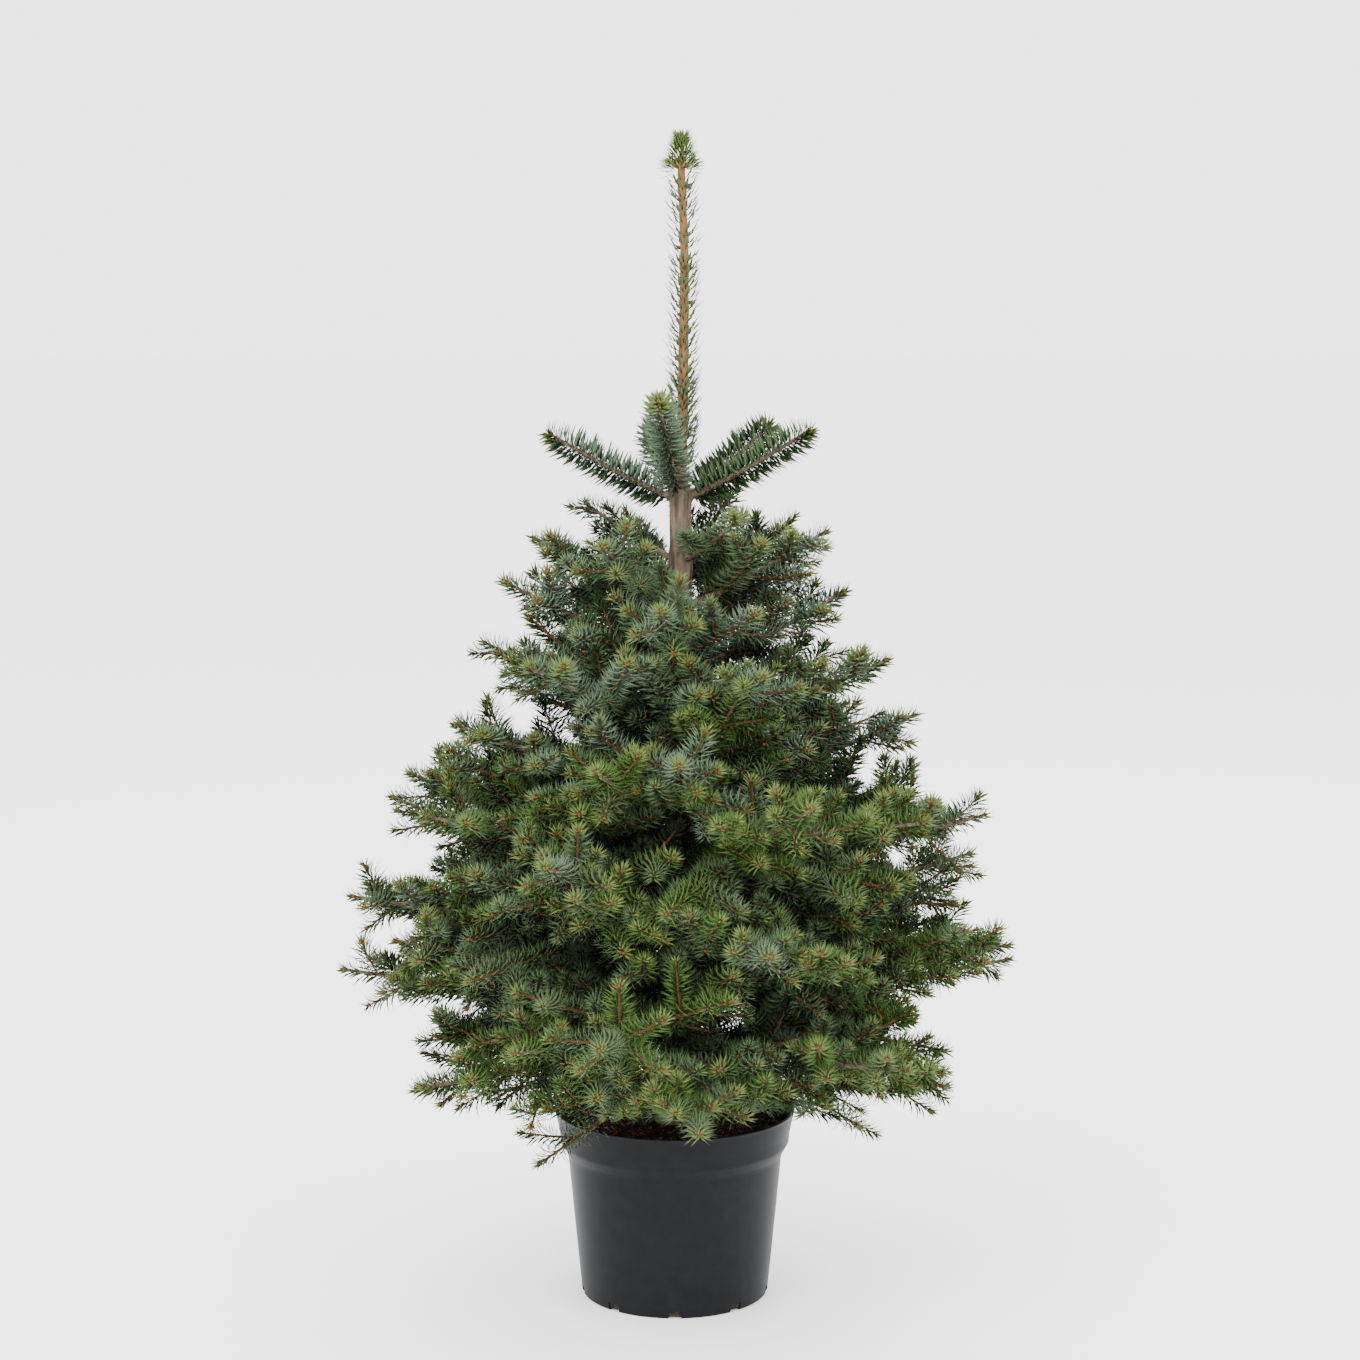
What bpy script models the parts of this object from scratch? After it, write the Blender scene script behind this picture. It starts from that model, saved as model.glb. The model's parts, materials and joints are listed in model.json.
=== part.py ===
"""Potted nordmann fir, about 1.35 m high, as a Blender script in metres with +Z up.

The origin is on the floor, at the middle of the pot's flat underside. The viewer of the
photograph stands at -Y, so azimuth 180 is the left of the picture and 270 its front.
The trunk carries boughs in whorls, each bough carries one mass of foliage, and the upper
masses grow straight from the trunk. Every twig and spray follows one seeded growth rule.
"""

import math
import random

import bmesh
import bpy
from mathutils import Matrix, Vector
from mathutils.bvhtree import BVHTree

# Driving sizes of the pot
POT_HEIGHT = 0.2197
LIP_RADIUS = 0.1400
BASE_RADIUS = 0.1088
BODY_TOP = 0.1660
BODY_TOP_RADIUS = 0.1246
BAND_FOOT = 0.1810
BAND_FOOT_RADIUS = 0.1330
BAND_TOP = 0.1930
BAND_TOP_RADIUS = 0.1342
FOOT_ROUNDING = 0.0030
WALL = 0.0017
FLOOR_THICKNESS = 0.0026
POT_SIDES = 36
NOTCH_COUNT = 9
NOTCH_WIDTH = 0.0150
NOTCH_HEIGHT = 0.0095
NOTCH_DEPTH = 0.0100

# Driving sizes of the compost that fills the pot
SOIL_EDGE = 0.2000
SOIL_MIDDLE = 0.2035
SOIL_FLAT_RADIUS = 0.0400
SOIL_HOLLOW_RADIUS = 0.0850
SOIL_HOLLOW = 0.2010
SOIL_BUMP = 0.0022

# Driving sizes of the trunk and its leading shoot
GAP = 0.0003
BOUGH_STEPS = 16
TRUNK_FOOT = SOIL_MIDDLE + GAP
TRUNK_FOOT_RADIUS = 0.0185
CROWN_RING = 0.9340
CROWN_RING_RADIUS = 0.0118
LEADER_FOOT_RADIUS = 0.0068
LEADER_TOP = 1.3000
LEADER_TOP_RADIUS = 0.0042
TREE_TOP = 1.3460
ROOT_FLARE = 0.0090
ROOT_FLARE_HEIGHT = 0.0140
COLLAR_SWELL = 0.0020
COLLAR_HEIGHT = 0.0090
TRUNK_SIDES = 8
FLARE_RINGS = (0.010, 0.030)
LEADER_CLEAR = 0.030
LEADER_BARE_END = 0.012
LEADER_STEPS = 5
# The stem's lean: how far its middle stands to the right of the pot's, by height
STEM_LEAN = ((0.20, 0.0020), (0.50, 0.0040), (0.72, 0.0065), (0.94, 0.0065),
             (1.06, 0.0096), (1.20, 0.0110), (1.30, 0.0076))
STEM_SWAY = 0.0030

# Driving sizes of twigs and sprays
YEAR_SHOOT = 0.078
LAST_SHOOT = 0.115
SHORTEST_TWIG = 0.040
SHORTEST_SPRAY = 0.066
LONG_SPRAY = 0.180
SPRAY_TIP = 0.010
SPRAY_BARE_FOOT = 0.14
SPRAY_TEETH_END = 0.86
TOOTH_LEAN = 0.62
TOOTH_STAGGER = 0.004
UNDERSIDE_SHARE = 0.90
BOUGH_ROOT_RADIUS = 0.0068
TWIG_RADIUS = 0.0017
SPRAY_CORE_RADIUS = 0.0022
FORK_ANGLE = 52.0
SIDE_SHARE = 0.80
SPACE_SLACK = 0.030
CLEARANCE = 0.0010
NEEDLE_LENGTH = 0.025
LEADER_TIERS = 10
SLEEVE_GAP = 0.0004
SLEEVE_WALL = 0.0009
TIER_STRETCH = 0.007
TUFT_NEEDLE = 0.022
TUFT_NEEDLE_RADIUS = 0.0018
TUFT_NEEDLES = 15
GOLDEN_ANGLE = 137.5

# Each whorl: its height on the trunk, how much lower each next bough of it sits, its
# boughs' azimuths, their length from the trunk to the last bud, the angle at which they
# rise, how far they turn up towards the tip, the share of the length that is a bare bough
# before the foliage, and how far its sprays spread to each side. A bare share of 0 is a
# mass that grows straight from the trunk.
WHORLS = (
    dict(height=0.938, drop=0.0, azimuths=(257,), length=0.140, rise=44, lift=6, bare=0, spread=0.026),
    dict(height=0.932, drop=0.0, azimuths=(186, 350, 42, 104), length=0.146, rise=25, lift=8, bare=0,
         spread=0.026),
    dict(height=0.862, drop=0.0, azimuths=(152, 305, 64), length=0.122, rise=23, lift=8, bare=0,
         spread=0.028),
    dict(height=0.808, drop=0.001, azimuths=(352, 240, 108, 38, 178), length=0.168, rise=25, lift=8, bare=0,
         spread=0.032),
    dict(height=0.752, drop=0.005, azimuths=(192, 136, 68, 264, 8), length=0.200, rise=21, lift=8, bare=0,
         spread=0.034),
    dict(height=0.676, drop=0.004, azimuths=(168, 228, 86, 292, 348), length=0.238, rise=18, lift=8, bare=0,
         spread=0.038),
    dict(height=0.600, drop=0.005, azimuths=(204, 270, 112, 16), length=0.278, rise=12, lift=10, bare=0,
         spread=0.044),
    dict(height=0.508, drop=0.006, azimuths=(344, 72, 246, 168), length=0.346, rise=6, lift=14, bare=0.20,
         spread=0.048),
    dict(height=0.448, drop=0.004, azimuths=(20, 110, 186, 286), length=0.344, rise=0, lift=12, bare=0,
         spread=0.048),
    dict(height=0.378, drop=0.004, azimuths=(84, 182, 258, 8), length=0.368, rise=-6, lift=16, bare=0.20,
         spread=0.048),
    dict(height=0.316, drop=0.004, azimuths=(142, 334, 214, 274), length=0.318, rise=-7, lift=6, bare=0.20,
         spread=0.045),
)

SEED = 25


def clear_scene():
    """Start from an empty file, whatever it held."""
    for old in list(bpy.data.objects):
        bpy.data.objects.remove(old, do_unlink=True)


# Materials


def make_material(name, colour, roughness):
    """A plain finish of one colour."""
    material = bpy.data.materials.new(name)
    material.use_nodes = True
    shader = material.node_tree.nodes["Principled BSDF"]
    shader.inputs["Base Color"].default_value = (*colour, 1.0)
    shader.inputs["Roughness"].default_value = roughness
    shader.inputs["Metallic"].default_value = 0.0
    material.diffuse_color = (*colour, 1.0)
    return material


def make_materials():
    """The finishes of pot, compost, bark, leading shoot and needles."""
    return {
        "pot": make_material("anthracite_plastic", (0.035, 0.037, 0.042), 0.42),
        "soil": make_material("dark_compost", (0.022, 0.015, 0.011), 0.95),
        "bark": make_material("grey_brown_bark", (0.155, 0.112, 0.080), 0.85),
        "young_bark": make_material("orange_brown_bark", (0.300, 0.165, 0.085), 0.75),
        "needles": make_material("fir_green", (0.060, 0.120, 0.060), 0.60),
        "young": make_material("young_green", (0.110, 0.170, 0.050), 0.60),
    }


# Meshes and objects


def mesh_object(name, vertices, faces, material, smooth=False, in_triangles=True):
    """A closed mesh object whose faces point out."""
    mesh = bpy.data.meshes.new(name)
    shape = bmesh.new()
    corners = [shape.verts.new(vertex) for vertex in vertices]
    for face in faces:
        shape.faces.new([corners[index] for index in face])
    bmesh.ops.recalc_face_normals(shape, faces=shape.faces)
    if in_triangles:
        bmesh.ops.triangulate(shape, faces=shape.faces)
    shape.to_mesh(mesh)
    shape.free()
    if smooth:
        shade_round(mesh)
    mesh.materials.append(material)
    thing = bpy.data.objects.new(name, mesh)
    bpy.context.scene.collection.objects.link(thing)
    return thing


def shade_round(mesh):
    """Smooth shading that keeps the edges sharp."""
    mesh.shade_smooth()
    mesh.set_sharp_from_angle(angle=math.radians(40))


def turned(name, profile, sides, material):
    """A solid of revolution with a flat cap at each end of its profile."""
    rings = []
    for radius, height in profile:
        ring = []
        for side in range(sides):
            angle = math.tau * (side + 0.5) / sides
            ring.append(Vector((radius * math.cos(angle), radius * math.sin(angle), height)))
        rings.append(ring)
    vertices, faces = tube(rings)
    return mesh_object(name, vertices, faces, material, in_triangles=False)


def in_triangles(thing):
    """Cut every face of a finished object into triangles and shade it as a round piece."""
    shape = bmesh.new()
    shape.from_mesh(thing.data)
    bmesh.ops.triangulate(shape, faces=shape.faces)
    shape.to_mesh(thing.data)
    shape.free()
    shade_round(thing.data)


def apply_boolean(thing, operation, solver, collection=None, cutter=None):
    """Run one Boolean on an object and bake it in."""
    modifier = thing.modifiers.new("join", "BOOLEAN")
    modifier.operation = operation
    modifier.solver = solver
    if solver == "EXACT":
        modifier.material_mode = "TRANSFER"
    if collection:
        modifier.operand_type = "COLLECTION"
        modifier.collection = collection
    else:
        modifier.object = cutter
    bpy.context.view_layer.update()
    graph = bpy.context.evaluated_depsgraph_get()
    result = bpy.data.meshes.new_from_object(thing.evaluated_get(graph), depsgraph=graph)
    thing.modifiers.clear()
    old = thing.data
    thing.data = result
    bpy.data.meshes.remove(old)


def is_closed(mesh):
    """True where every edge has exactly two faces."""
    shape = bmesh.new()
    shape.from_mesh(mesh)
    closed = all(len(edge.link_faces) == 2 for edge in shape.edges) and len(shape.faces) > 0
    shape.free()
    return closed


def keep_largest_body(thing):
    """Drop loose scraps and the skins of sealed hollows, so that one solid body stays."""
    shape = bmesh.new()
    shape.from_mesh(thing.data)
    bmesh.ops.triangulate(shape, faces=shape.faces)
    waiting = set(shape.verts)
    bodies = []
    while waiting:
        seed = waiting.pop()
        body = {seed}
        edge_of_body = [seed]
        while edge_of_body:
            vertex = edge_of_body.pop()
            for edge in vertex.link_edges:
                other = edge.other_vert(vertex)
                if other not in body:
                    body.add(other)
                    edge_of_body.append(other)
        waiting -= body
        bodies.append(body)
    bodies.sort(key=extent_of, reverse=True)
    for body in bodies[1:]:
        bmesh.ops.delete(shape, geom=list(body), context="VERTS")
    shape.to_mesh(thing.data)
    shape.free()


def extent_of(body):
    """The diagonal of a set of vertices."""
    low = Vector(min(vertex.co[axis] for vertex in body) for axis in range(3))
    high = Vector(max(vertex.co[axis] for vertex in body) for axis in range(3))
    return (high - low).length


# Pot and compost


def inner_wall(height):
    """The radius of the pot's inner wall at a height."""
    outer = ((0.0, BASE_RADIUS), (BODY_TOP, BODY_TOP_RADIUS), (BAND_FOOT, BAND_FOOT_RADIUS),
             (BAND_TOP, BAND_TOP_RADIUS), (POT_HEIGHT, LIP_RADIUS))
    return between(outer, height) - WALL


def between(points, place):
    """Straight interpolation in a list of (place, value) points."""
    if place <= points[0][0]:
        return points[0][1]
    for (first, low), (second, high) in zip(points, points[1:]):
        if place <= second:
            return low + (high - low) * (place - first) / (second - first)
    return points[-1][1]


def make_pot(materials):
    """The thin nursery container: tapered body, flared band, round lip, notched foot."""
    lip = WALL / 2
    profile = [
        (BASE_RADIUS - FOOT_ROUNDING, 0.0),
        (BASE_RADIUS, FOOT_ROUNDING),
        (BODY_TOP_RADIUS, BODY_TOP),
        (BAND_FOOT_RADIUS, BAND_FOOT),
        (BAND_TOP_RADIUS, BAND_TOP),
        (LIP_RADIUS, POT_HEIGHT - lip),
        (LIP_RADIUS - lip, POT_HEIGHT),
        (LIP_RADIUS - WALL, POT_HEIGHT - lip),
        (inner_wall(BAND_TOP), BAND_TOP),
        (inner_wall(BAND_FOOT), BAND_FOOT),
        (inner_wall(BODY_TOP), BODY_TOP),
        (inner_wall(FLOOR_THICKNESS), FLOOR_THICKNESS),
    ]
    pot = turned("pot", profile, POT_SIDES, materials["pot"])
    for number in range(NOTCH_COUNT):
        angle = math.radians(270) + math.tau * number / NOTCH_COUNT
        cutter = notch_cutter(angle, materials["pot"])
        apply_boolean(pot, "DIFFERENCE", "EXACT", cutter=cutter)
        bpy.data.objects.remove(cutter, do_unlink=True)
    in_triangles(pot)
    return pot


def notch_cutter(angle, material):
    """A block across the pot's foot, through the wall and the edge of the floor."""
    inner = BASE_RADIUS - NOTCH_DEPTH
    outer = BASE_RADIUS + NOTCH_DEPTH
    half = NOTCH_WIDTH / 2
    turn = Matrix.Rotation(angle, 4, "Z")
    corners = [(radius, side, height)
               for radius in (inner, outer)
               for side in (-half, half)
               for height in (-FOOT_ROUNDING, NOTCH_HEIGHT)]
    faces = [(0, 1, 3, 2), (4, 6, 7, 5), (0, 4, 5, 1), (2, 3, 7, 6), (0, 2, 6, 4), (1, 5, 7, 3)]
    cutter = mesh_object("notch_cutter", [turn @ Vector(corner) for corner in corners], faces, material)
    cutter.hide_render = True
    cutter.display_type = "WIRE"
    return cutter


def make_soil(materials):
    """The compost, clear of the wall by the gap, a little uneven on top."""
    slope_gap = 2.0 * GAP
    floor = FLOOR_THICKNESS + GAP
    profile = [
        (inner_wall(floor) - slope_gap, floor),
        (inner_wall(BODY_TOP) - slope_gap, BODY_TOP),
        (inner_wall(BAND_FOOT) - slope_gap, BAND_FOOT),
        (inner_wall(SOIL_EDGE) - slope_gap, SOIL_EDGE),
        (SOIL_HOLLOW_RADIUS, SOIL_HOLLOW),
        (SOIL_FLAT_RADIUS, SOIL_MIDDLE),
    ]
    soil = turned("soil", profile, POT_SIDES, materials["soil"])
    chance = random.Random(SEED)
    for vertex in soil.data.vertices:
        if SOIL_EDGE + GAP < vertex.co.z < SOIL_MIDDLE - GAP:
            vertex.co.z += chance.uniform(-SOIL_BUMP, SOIL_BUMP)
    in_triangles(soil)
    return soil


# The trunk


def stem_middle(height):
    """The middle of the stem at a height, along its slight lean and sway."""
    share = (height - TRUNK_FOOT) / (LEADER_TOP - TRUNK_FOOT)
    return Vector((smooth_between(STEM_LEAN, height), STEM_SWAY * math.sin(2.2 * math.pi * share), height))


def smooth_between(points, place):
    """Interpolation in a list of (place, value) points that eases in and out of each."""
    if place <= points[0][0]:
        return points[0][1]
    for (first, low), (second, high) in zip(points, points[1:]):
        if place <= second:
            share = (place - first) / (second - first)
            return low + (high - low) * share * share * (3.0 - 2.0 * share)
    return points[-1][1]


def stem_radius(height):
    """The stem's radius: taper, root flare, a collar at each whorl, and the thin leading shoot."""
    if height > CROWN_RING + COLLAR_HEIGHT:
        share = (height - CROWN_RING) / (LEADER_TOP - CROWN_RING)
        return LEADER_FOOT_RADIUS + (LEADER_TOP_RADIUS - LEADER_FOOT_RADIUS) * share
    share = (height - TRUNK_FOOT) / (CROWN_RING - TRUNK_FOOT)
    radius = TRUNK_FOOT_RADIUS + (CROWN_RING_RADIUS - TRUNK_FOOT_RADIUS) * share
    radius += ROOT_FLARE * math.exp(-(height - TRUNK_FOOT) / ROOT_FLARE_HEIGHT)
    for whorl in WHORLS[1:]:
        radius += COLLAR_SWELL * math.exp(-((height - whorl["height"]) / COLLAR_HEIGHT) ** 2)
    return radius


def stem_heights():
    """The heights of the trunk's rings: close at the flare, two at each whorl's collar."""
    heights = [TRUNK_FOOT] + [TRUNK_FOOT + rise for rise in FLARE_RINGS]
    whorls = [whorl["height"] for whorl in reversed(WHORLS[1:])]
    for lower in whorls[:-1]:
        heights += [lower, lower + 2 * COLLAR_HEIGHT]
    heights += [CROWN_RING - COLLAR_HEIGHT, CROWN_RING, CROWN_RING + 2 * COLLAR_HEIGHT]
    return heights + leader_heights()


def bark_radius(height):
    """The stem's radius where its bark runs straight from one ring to the next."""
    heights = stem_heights()
    return between([(place, stem_radius(place)) for place in heights], height)


def leader_heights():
    """The heights of the leading shoot's rings."""
    foot = CROWN_RING + LEADER_CLEAR
    last = LEADER_TOP - LEADER_BARE_END
    steps = range(LEADER_STEPS + 1)
    return [foot + (last - foot) * step / LEADER_STEPS for step in steps] + [LEADER_TOP]


def tube(rings):
    """Vertices and faces of a closed tube through rings of equal size."""
    vertices = [vertex for ring in rings for vertex in ring]
    sides = len(rings[0])
    faces = [tuple(range(sides))]
    for step in range(len(rings) - 1):
        for side in range(sides):
            corner = (side + 1) % sides
            faces.append((step * sides + side, step * sides + corner,
                          (step + 1) * sides + corner, (step + 1) * sides + side))
    last = (len(rings) - 1) * sides
    faces.append(tuple(last + side for side in range(sides)))
    return vertices, faces


def level_ring(middle, radius, sides):
    """A level ring of points."""
    return [middle + Vector((radius * math.cos(math.tau * side / sides),
                             radius * math.sin(math.tau * side / sides), 0.0)) for side in range(sides)]


def make_trunk(materials):
    """The whole stem, from the flat cut on the compost to the foot of the top bud."""
    rings = [level_ring(stem_middle(height), stem_radius(height), TRUNK_SIDES) for height in stem_heights()]
    vertices, faces = tube(rings)
    return mesh_object("trunk", vertices, faces, materials["bark"], smooth=True)


# The growth rule


def bend(direction, degrees):
    """Turn a direction up towards the sky, or down where the angle is negative."""
    level = Vector((direction.y, -direction.x, 0.0))
    if level.length < 1e-6:
        return direction.copy()
    return Matrix.Rotation(math.radians(degrees), 3, level.normalized()) @ direction


def grow_line(start, direction, length, lift, steps):
    """The points of a limb that turns up evenly by the lift along its length."""
    points = [start.copy()]
    heading = direction.normalized()
    for _ in range(steps):
        heading = bend(heading, lift / steps)
        points.append(points[-1] + heading * (length / steps))
    return points


def point_on(points, share):
    """The point and heading at a share of a line's length."""
    place = min(max(share, 0.0), 1.0) * (len(points) - 1)
    step = min(int(place), len(points) - 2)
    part = place - step
    heading = (points[step + 1] - points[step]).normalized()
    return points[step].lerp(points[step + 1], part), heading


def side_frame(heading):
    """The directions to the right of a heading and above it."""
    right = heading.cross(Vector((0.0, 0.0, 1.0)))
    if right.length < 1e-6:
        right = Vector((1.0, 0.0, 0.0))
    right.normalize()
    return right, right.cross(heading).normalized()


def list_boughs():
    """Every bough of the tree: its line from the trunk to its last bud, and its bare share."""
    boughs = []
    chance = random.Random(SEED)
    for whorl in WHORLS:
        for place, azimuth in enumerate(whorl["azimuths"]):
            height = whorl["height"] - whorl["drop"] * place
            length = whorl["length"] * chance.uniform(0.96, 1.04)
            rise = math.radians(whorl["rise"] + chance.uniform(-2.0, 2.0))
            turn = math.radians(azimuth)
            out = Vector((math.cos(turn), math.sin(turn), 0.0))
            heading = out * math.cos(rise) + Vector((0.0, 0.0, math.sin(rise)))
            radius = max(bark_radius(height + step * BOUGH_ROOT_RADIUS / 2) for step in (-2, -1, 0, 1, 2))
            start = stem_middle(height) + out * (radius + GAP)
            boughs.append(dict(
                out=out, bare=whorl["bare"], length=length, spread=whorl["spread"],
                line=grow_line(start, heading, length, whorl["lift"], BOUGH_STEPS)))
    return boughs


def grow_twigs(line, length, order, first_share, chance):
    """The side shoots of a limb, and theirs: at each year's end a pair, and on a bough a
    third above or below. Every shoot has its line and its order."""
    years = int(length / YEAR_SHOOT)
    twigs = []
    if years < 2:
        return twigs
    for year in range(years):
        share = (year + first_share) / years
        rest = length * (1.0 - share)
        turns = [90.0, -90.0]
        if order == 0:
            turns.append(chance.choice((0.0, 180.0)))
        for turn in turns:
            roll = math.radians(turn + chance.uniform(-36.0, 36.0))
            fork = math.radians(FORK_ANGLE + chance.uniform(-9.0, 9.0))
            twig_length = rest * SIDE_SHARE * chance.uniform(0.84, 1.08)
            if turn in (0.0, 180.0):
                twig_length = min(twig_length, YEAR_SHOOT) * 0.9
            along = share + chance.uniform(0.0, 0.06)
            lift = chance.uniform(0.0, 14.0)
            if twig_length < SHORTEST_TWIG:
                continue
            root, heading = point_on(line, along)
            right, above = side_frame(heading)
            side = right * math.sin(roll) + above * math.cos(roll)
            direction = heading * math.cos(fork) + side * math.sin(fork)
            twig_line = grow_line(root, direction, twig_length, lift, 4)
            twigs.append(dict(line=twig_line, order=order + 1))
            if order < 1:
                twigs += grow_twigs(twig_line, twig_length, order + 1, 1.0, chance)
    return twigs


def mass_line(bough):
    """The part of a bough's line that runs inside its mass."""
    steps = len(bough["line"]) - 1
    foot, _ = point_on(bough["line"], bough["bare"])
    first = math.floor(bough["bare"] * steps) + 1
    return [foot] + [point.copy() for point in bough["line"][first:]]


# Limbs and sprays as solids


def cross_ring(middle, heading, radius, sides, phase=0.0):
    """A ring of points across a limb."""
    right, above = side_frame(heading)
    ring = []
    for side in range(sides):
        angle = math.tau * side / sides + phase
        ring.append(middle + right * (radius * math.sin(angle)) + above * (radius * math.cos(angle)))
    return ring


def root_ring(bough, radius, sides):
    """A bough's first ring, upright against the trunk."""
    start = bough["line"][0]
    across = Vector((-bough["out"].y, bough["out"].x, 0.0))
    _, heading = point_on(bough["line"], 0.0)
    stretch = 1.0 / max(heading.dot(bough["out"]), 0.5)
    ring = []
    for side in range(sides):
        angle = math.tau * side / sides
        ring.append(start + across * (-radius * math.sin(angle))
                    + Vector((0.0, 0.0, radius * stretch * math.cos(angle))))
    return ring


def limb_radius(bough, share):
    """A bough's radius at a share of its length, for its size and taper."""
    root = BOUGH_ROOT_RADIUS * math.sqrt(bough["length"] / 0.37)
    return root * (1.0 - share) + TWIG_RADIUS * share


def bough_solid(bough, first, last, steps, sides):
    """A tapering limb between two shares of a bough's line."""
    rings = []
    for step in range(steps + 1):
        share = first + (last - first) * step / steps
        middle, heading = point_on(bough["line"], share)
        radius = limb_radius(bough, share)
        if share == 0.0:
            rings.append(root_ring(bough, radius, sides))
        else:
            rings.append(cross_ring(middle, heading, radius, sides))
    return tube(rings)


def spray_solid(root, heading, length, reach, teeth, roll, sides, grow=0.0):
    """A spray of needles: a slim three-sided core with rows of flat pointed teeth.

    The core's root is sunk in its limb. Each tooth stands on one stretch of one core face
    and leans forwards. The underside, side 2, has shorter ones, and the faces that sides
    leaves out stay plain. grow thickens the whole for a test of clearance.
    """
    right, above = side_frame(heading)
    turned_up = above * math.cos(roll) + right * math.sin(roll)
    turned_right = right * math.cos(roll) - above * math.sin(roll)
    core = SPRAY_CORE_RADIUS + grow
    pitch = (SPRAY_TEETH_END - SPRAY_BARE_FOOT) / teeth

    def around(along, radius, degrees):
        angle = math.radians(degrees)
        spoke = turned_up * math.cos(angle) + turned_right * math.sin(angle)
        return root + heading * along + spoke * radius

    shares = [0.0] + [SPRAY_BARE_FOOT + pitch * step for step in range(teeth + 1)]
    vertices = []
    for share in shares:
        radius = core * (1.0 - 0.5 * share)
        vertices += [around(length * share, radius, 60 + 120 * corner) for corner in range(3)]
    faces = [(0, 1, 2)]
    for step in range(teeth + 1):
        for corner in range(3):
            following = (corner + 1) % 3
            ring = (3 * step + corner, 3 * step + following,
                    3 * step + 3 + following, 3 * step + 3 + corner)
            if step == 0 or corner not in sides:
                faces.append(ring)
                continue
            middle = (shares[step] + shares[step + 1]) / 2
            tall = (reach + 2 * grow) * (0.72 + 0.34 * math.sin(math.pi * (middle + 0.1)))
            if corner == 2:
                tall *= UNDERSIDE_SHARE
            forward = min(TOOTH_LEAN * tall, length * (1.0 - middle) * 0.9) + TOOTH_STAGGER * (corner - 1)
            apex = len(vertices)
            vertices.append(around(length * middle + forward, tall, 120 + 120 * corner))
            faces += [(ring[edge], ring[(edge + 1) % 4], apex) for edge in range(4)]
    tip = len(vertices)
    vertices.append(root + heading * (length + grow))
    last = 3 * (teeth + 1)
    faces += [(last + corner, last + (corner + 1) % 3, tip) for corner in range(3)]
    return vertices, faces


def solid_tree(vertices, faces):
    """A search tree for overlap tests."""
    return BVHTree.FromPolygons([tuple(vertex) for vertex in vertices], faces, all_triangles=False)


def is_clear(vertices, faces, others):
    """True where a trial solid meets none of the other solids."""
    trial = solid_tree(vertices, faces)
    low = [min(vertex[axis] for vertex in vertices) for axis in range(3)]
    high = [max(vertex[axis] for vertex in vertices) for axis in range(3)]
    for other_low, other_high, other in others:
        if any(low[axis] > other_high[axis] or high[axis] < other_low[axis] for axis in range(3)):
            continue
        if trial.overlap(other):
            return False
    return True


def boxed(vertices, faces):
    """A solid's box and search tree."""
    low = [min(vertex[axis] for vertex in vertices) for axis in range(3)]
    high = [max(vertex[axis] for vertex in vertices) for axis in range(3)]
    return low, high, solid_tree(vertices, faces)


def boxed_object(thing):
    """The same for a finished object."""
    vertices = [vertex.co.copy() for vertex in thing.data.vertices]
    return boxed(vertices, [tuple(polygon.vertices) for polygon in thing.data.polygons])


def distance_to_line(point, line):
    """How far a point is from a line of points."""
    best = 1e9
    for first, second in zip(line, line[1:]):
        span = second - first
        share = max(0.0, min(1.0, (point - first).dot(span) / span.length_squared))
        best = min(best, (point - first - span * share).length)
    return best


def in_own_space(point, own, boughs):
    """True where a point is nearer to its own bough than to any other, less a little slack."""
    mine = distance_to_line(point, boughs[own]["line"])
    for number, bough in enumerate(boughs):
        if number != own and distance_to_line(point, bough["line"]) < mine - SPACE_SLACK:
            return False
    return True


def union(name, first_solid, first_material, solids, material):
    """Fuse closed solids into one body: a Boolean union on a collection."""
    group = bpy.data.collections.new(name + "_parts")
    bpy.context.scene.collection.children.link(group)
    parts = []
    for number, (vertices, faces) in enumerate(solids):
        part = mesh_object(f"{name}_part_{number}", vertices, faces, material)
        bpy.context.scene.collection.objects.unlink(part)
        group.objects.link(part)
        parts.append(part)
    body = mesh_object(name, *first_solid, first_material)
    plain = body.data.copy()
    for solver in ("EXACT", "MANIFOLD"):
        body.data = plain.copy()
        apply_boolean(body, "UNION", solver, collection=group)
        keep_largest_body(body)
        if is_closed(body.data):
            break
        print(name, "is not closed with", solver)
    for part in parts:
        bpy.data.objects.remove(part, do_unlink=True)
    bpy.data.collections.remove(group)
    return body


# Boughs and masses


def make_boughs(boughs, materials):
    """The bare feet of the lower boughs, each one tapering limb."""
    made = []
    for number, bough in enumerate(boughs):
        if bough["bare"] == 0:
            continue
        vertices, faces = bough_solid(bough, 0.0, bough["bare"], 3, 6)
        name = f"bough_{number + 1:02d}"
        made.append(mesh_object(name, vertices, faces, materials["bark"], smooth=True))
    return made


def stem_solid(bough):
    """The three-sided stem of a mass, from its bough's tip or the trunk to its last shoot."""
    first = bough["bare"]
    if first > 0:
        first += GAP / bough["length"]
    last = 1.0 - 0.5 * YEAR_SHOOT / bough["length"]
    return bough_solid(bough, first, last, 3, 3)


def list_shoots(number, bough):
    """A mass's shoots, by the growth rule: its own last shoot first, then the side shoots."""
    length = bough["length"] * (1.0 - bough["bare"])
    tip_share = max(0.10, 1.0 - LAST_SHOOT / length)
    line = mass_line(bough)
    first_share = 0.06 if bough["bare"] > 0 else 0.30
    chance = random.Random(SEED + 100 + number)
    own = dict(line=[point_on(line, tip_share)[0], line[-1]], order=0)
    return [own] + grow_twigs(line, length, 0, first_share, chance)


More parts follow.
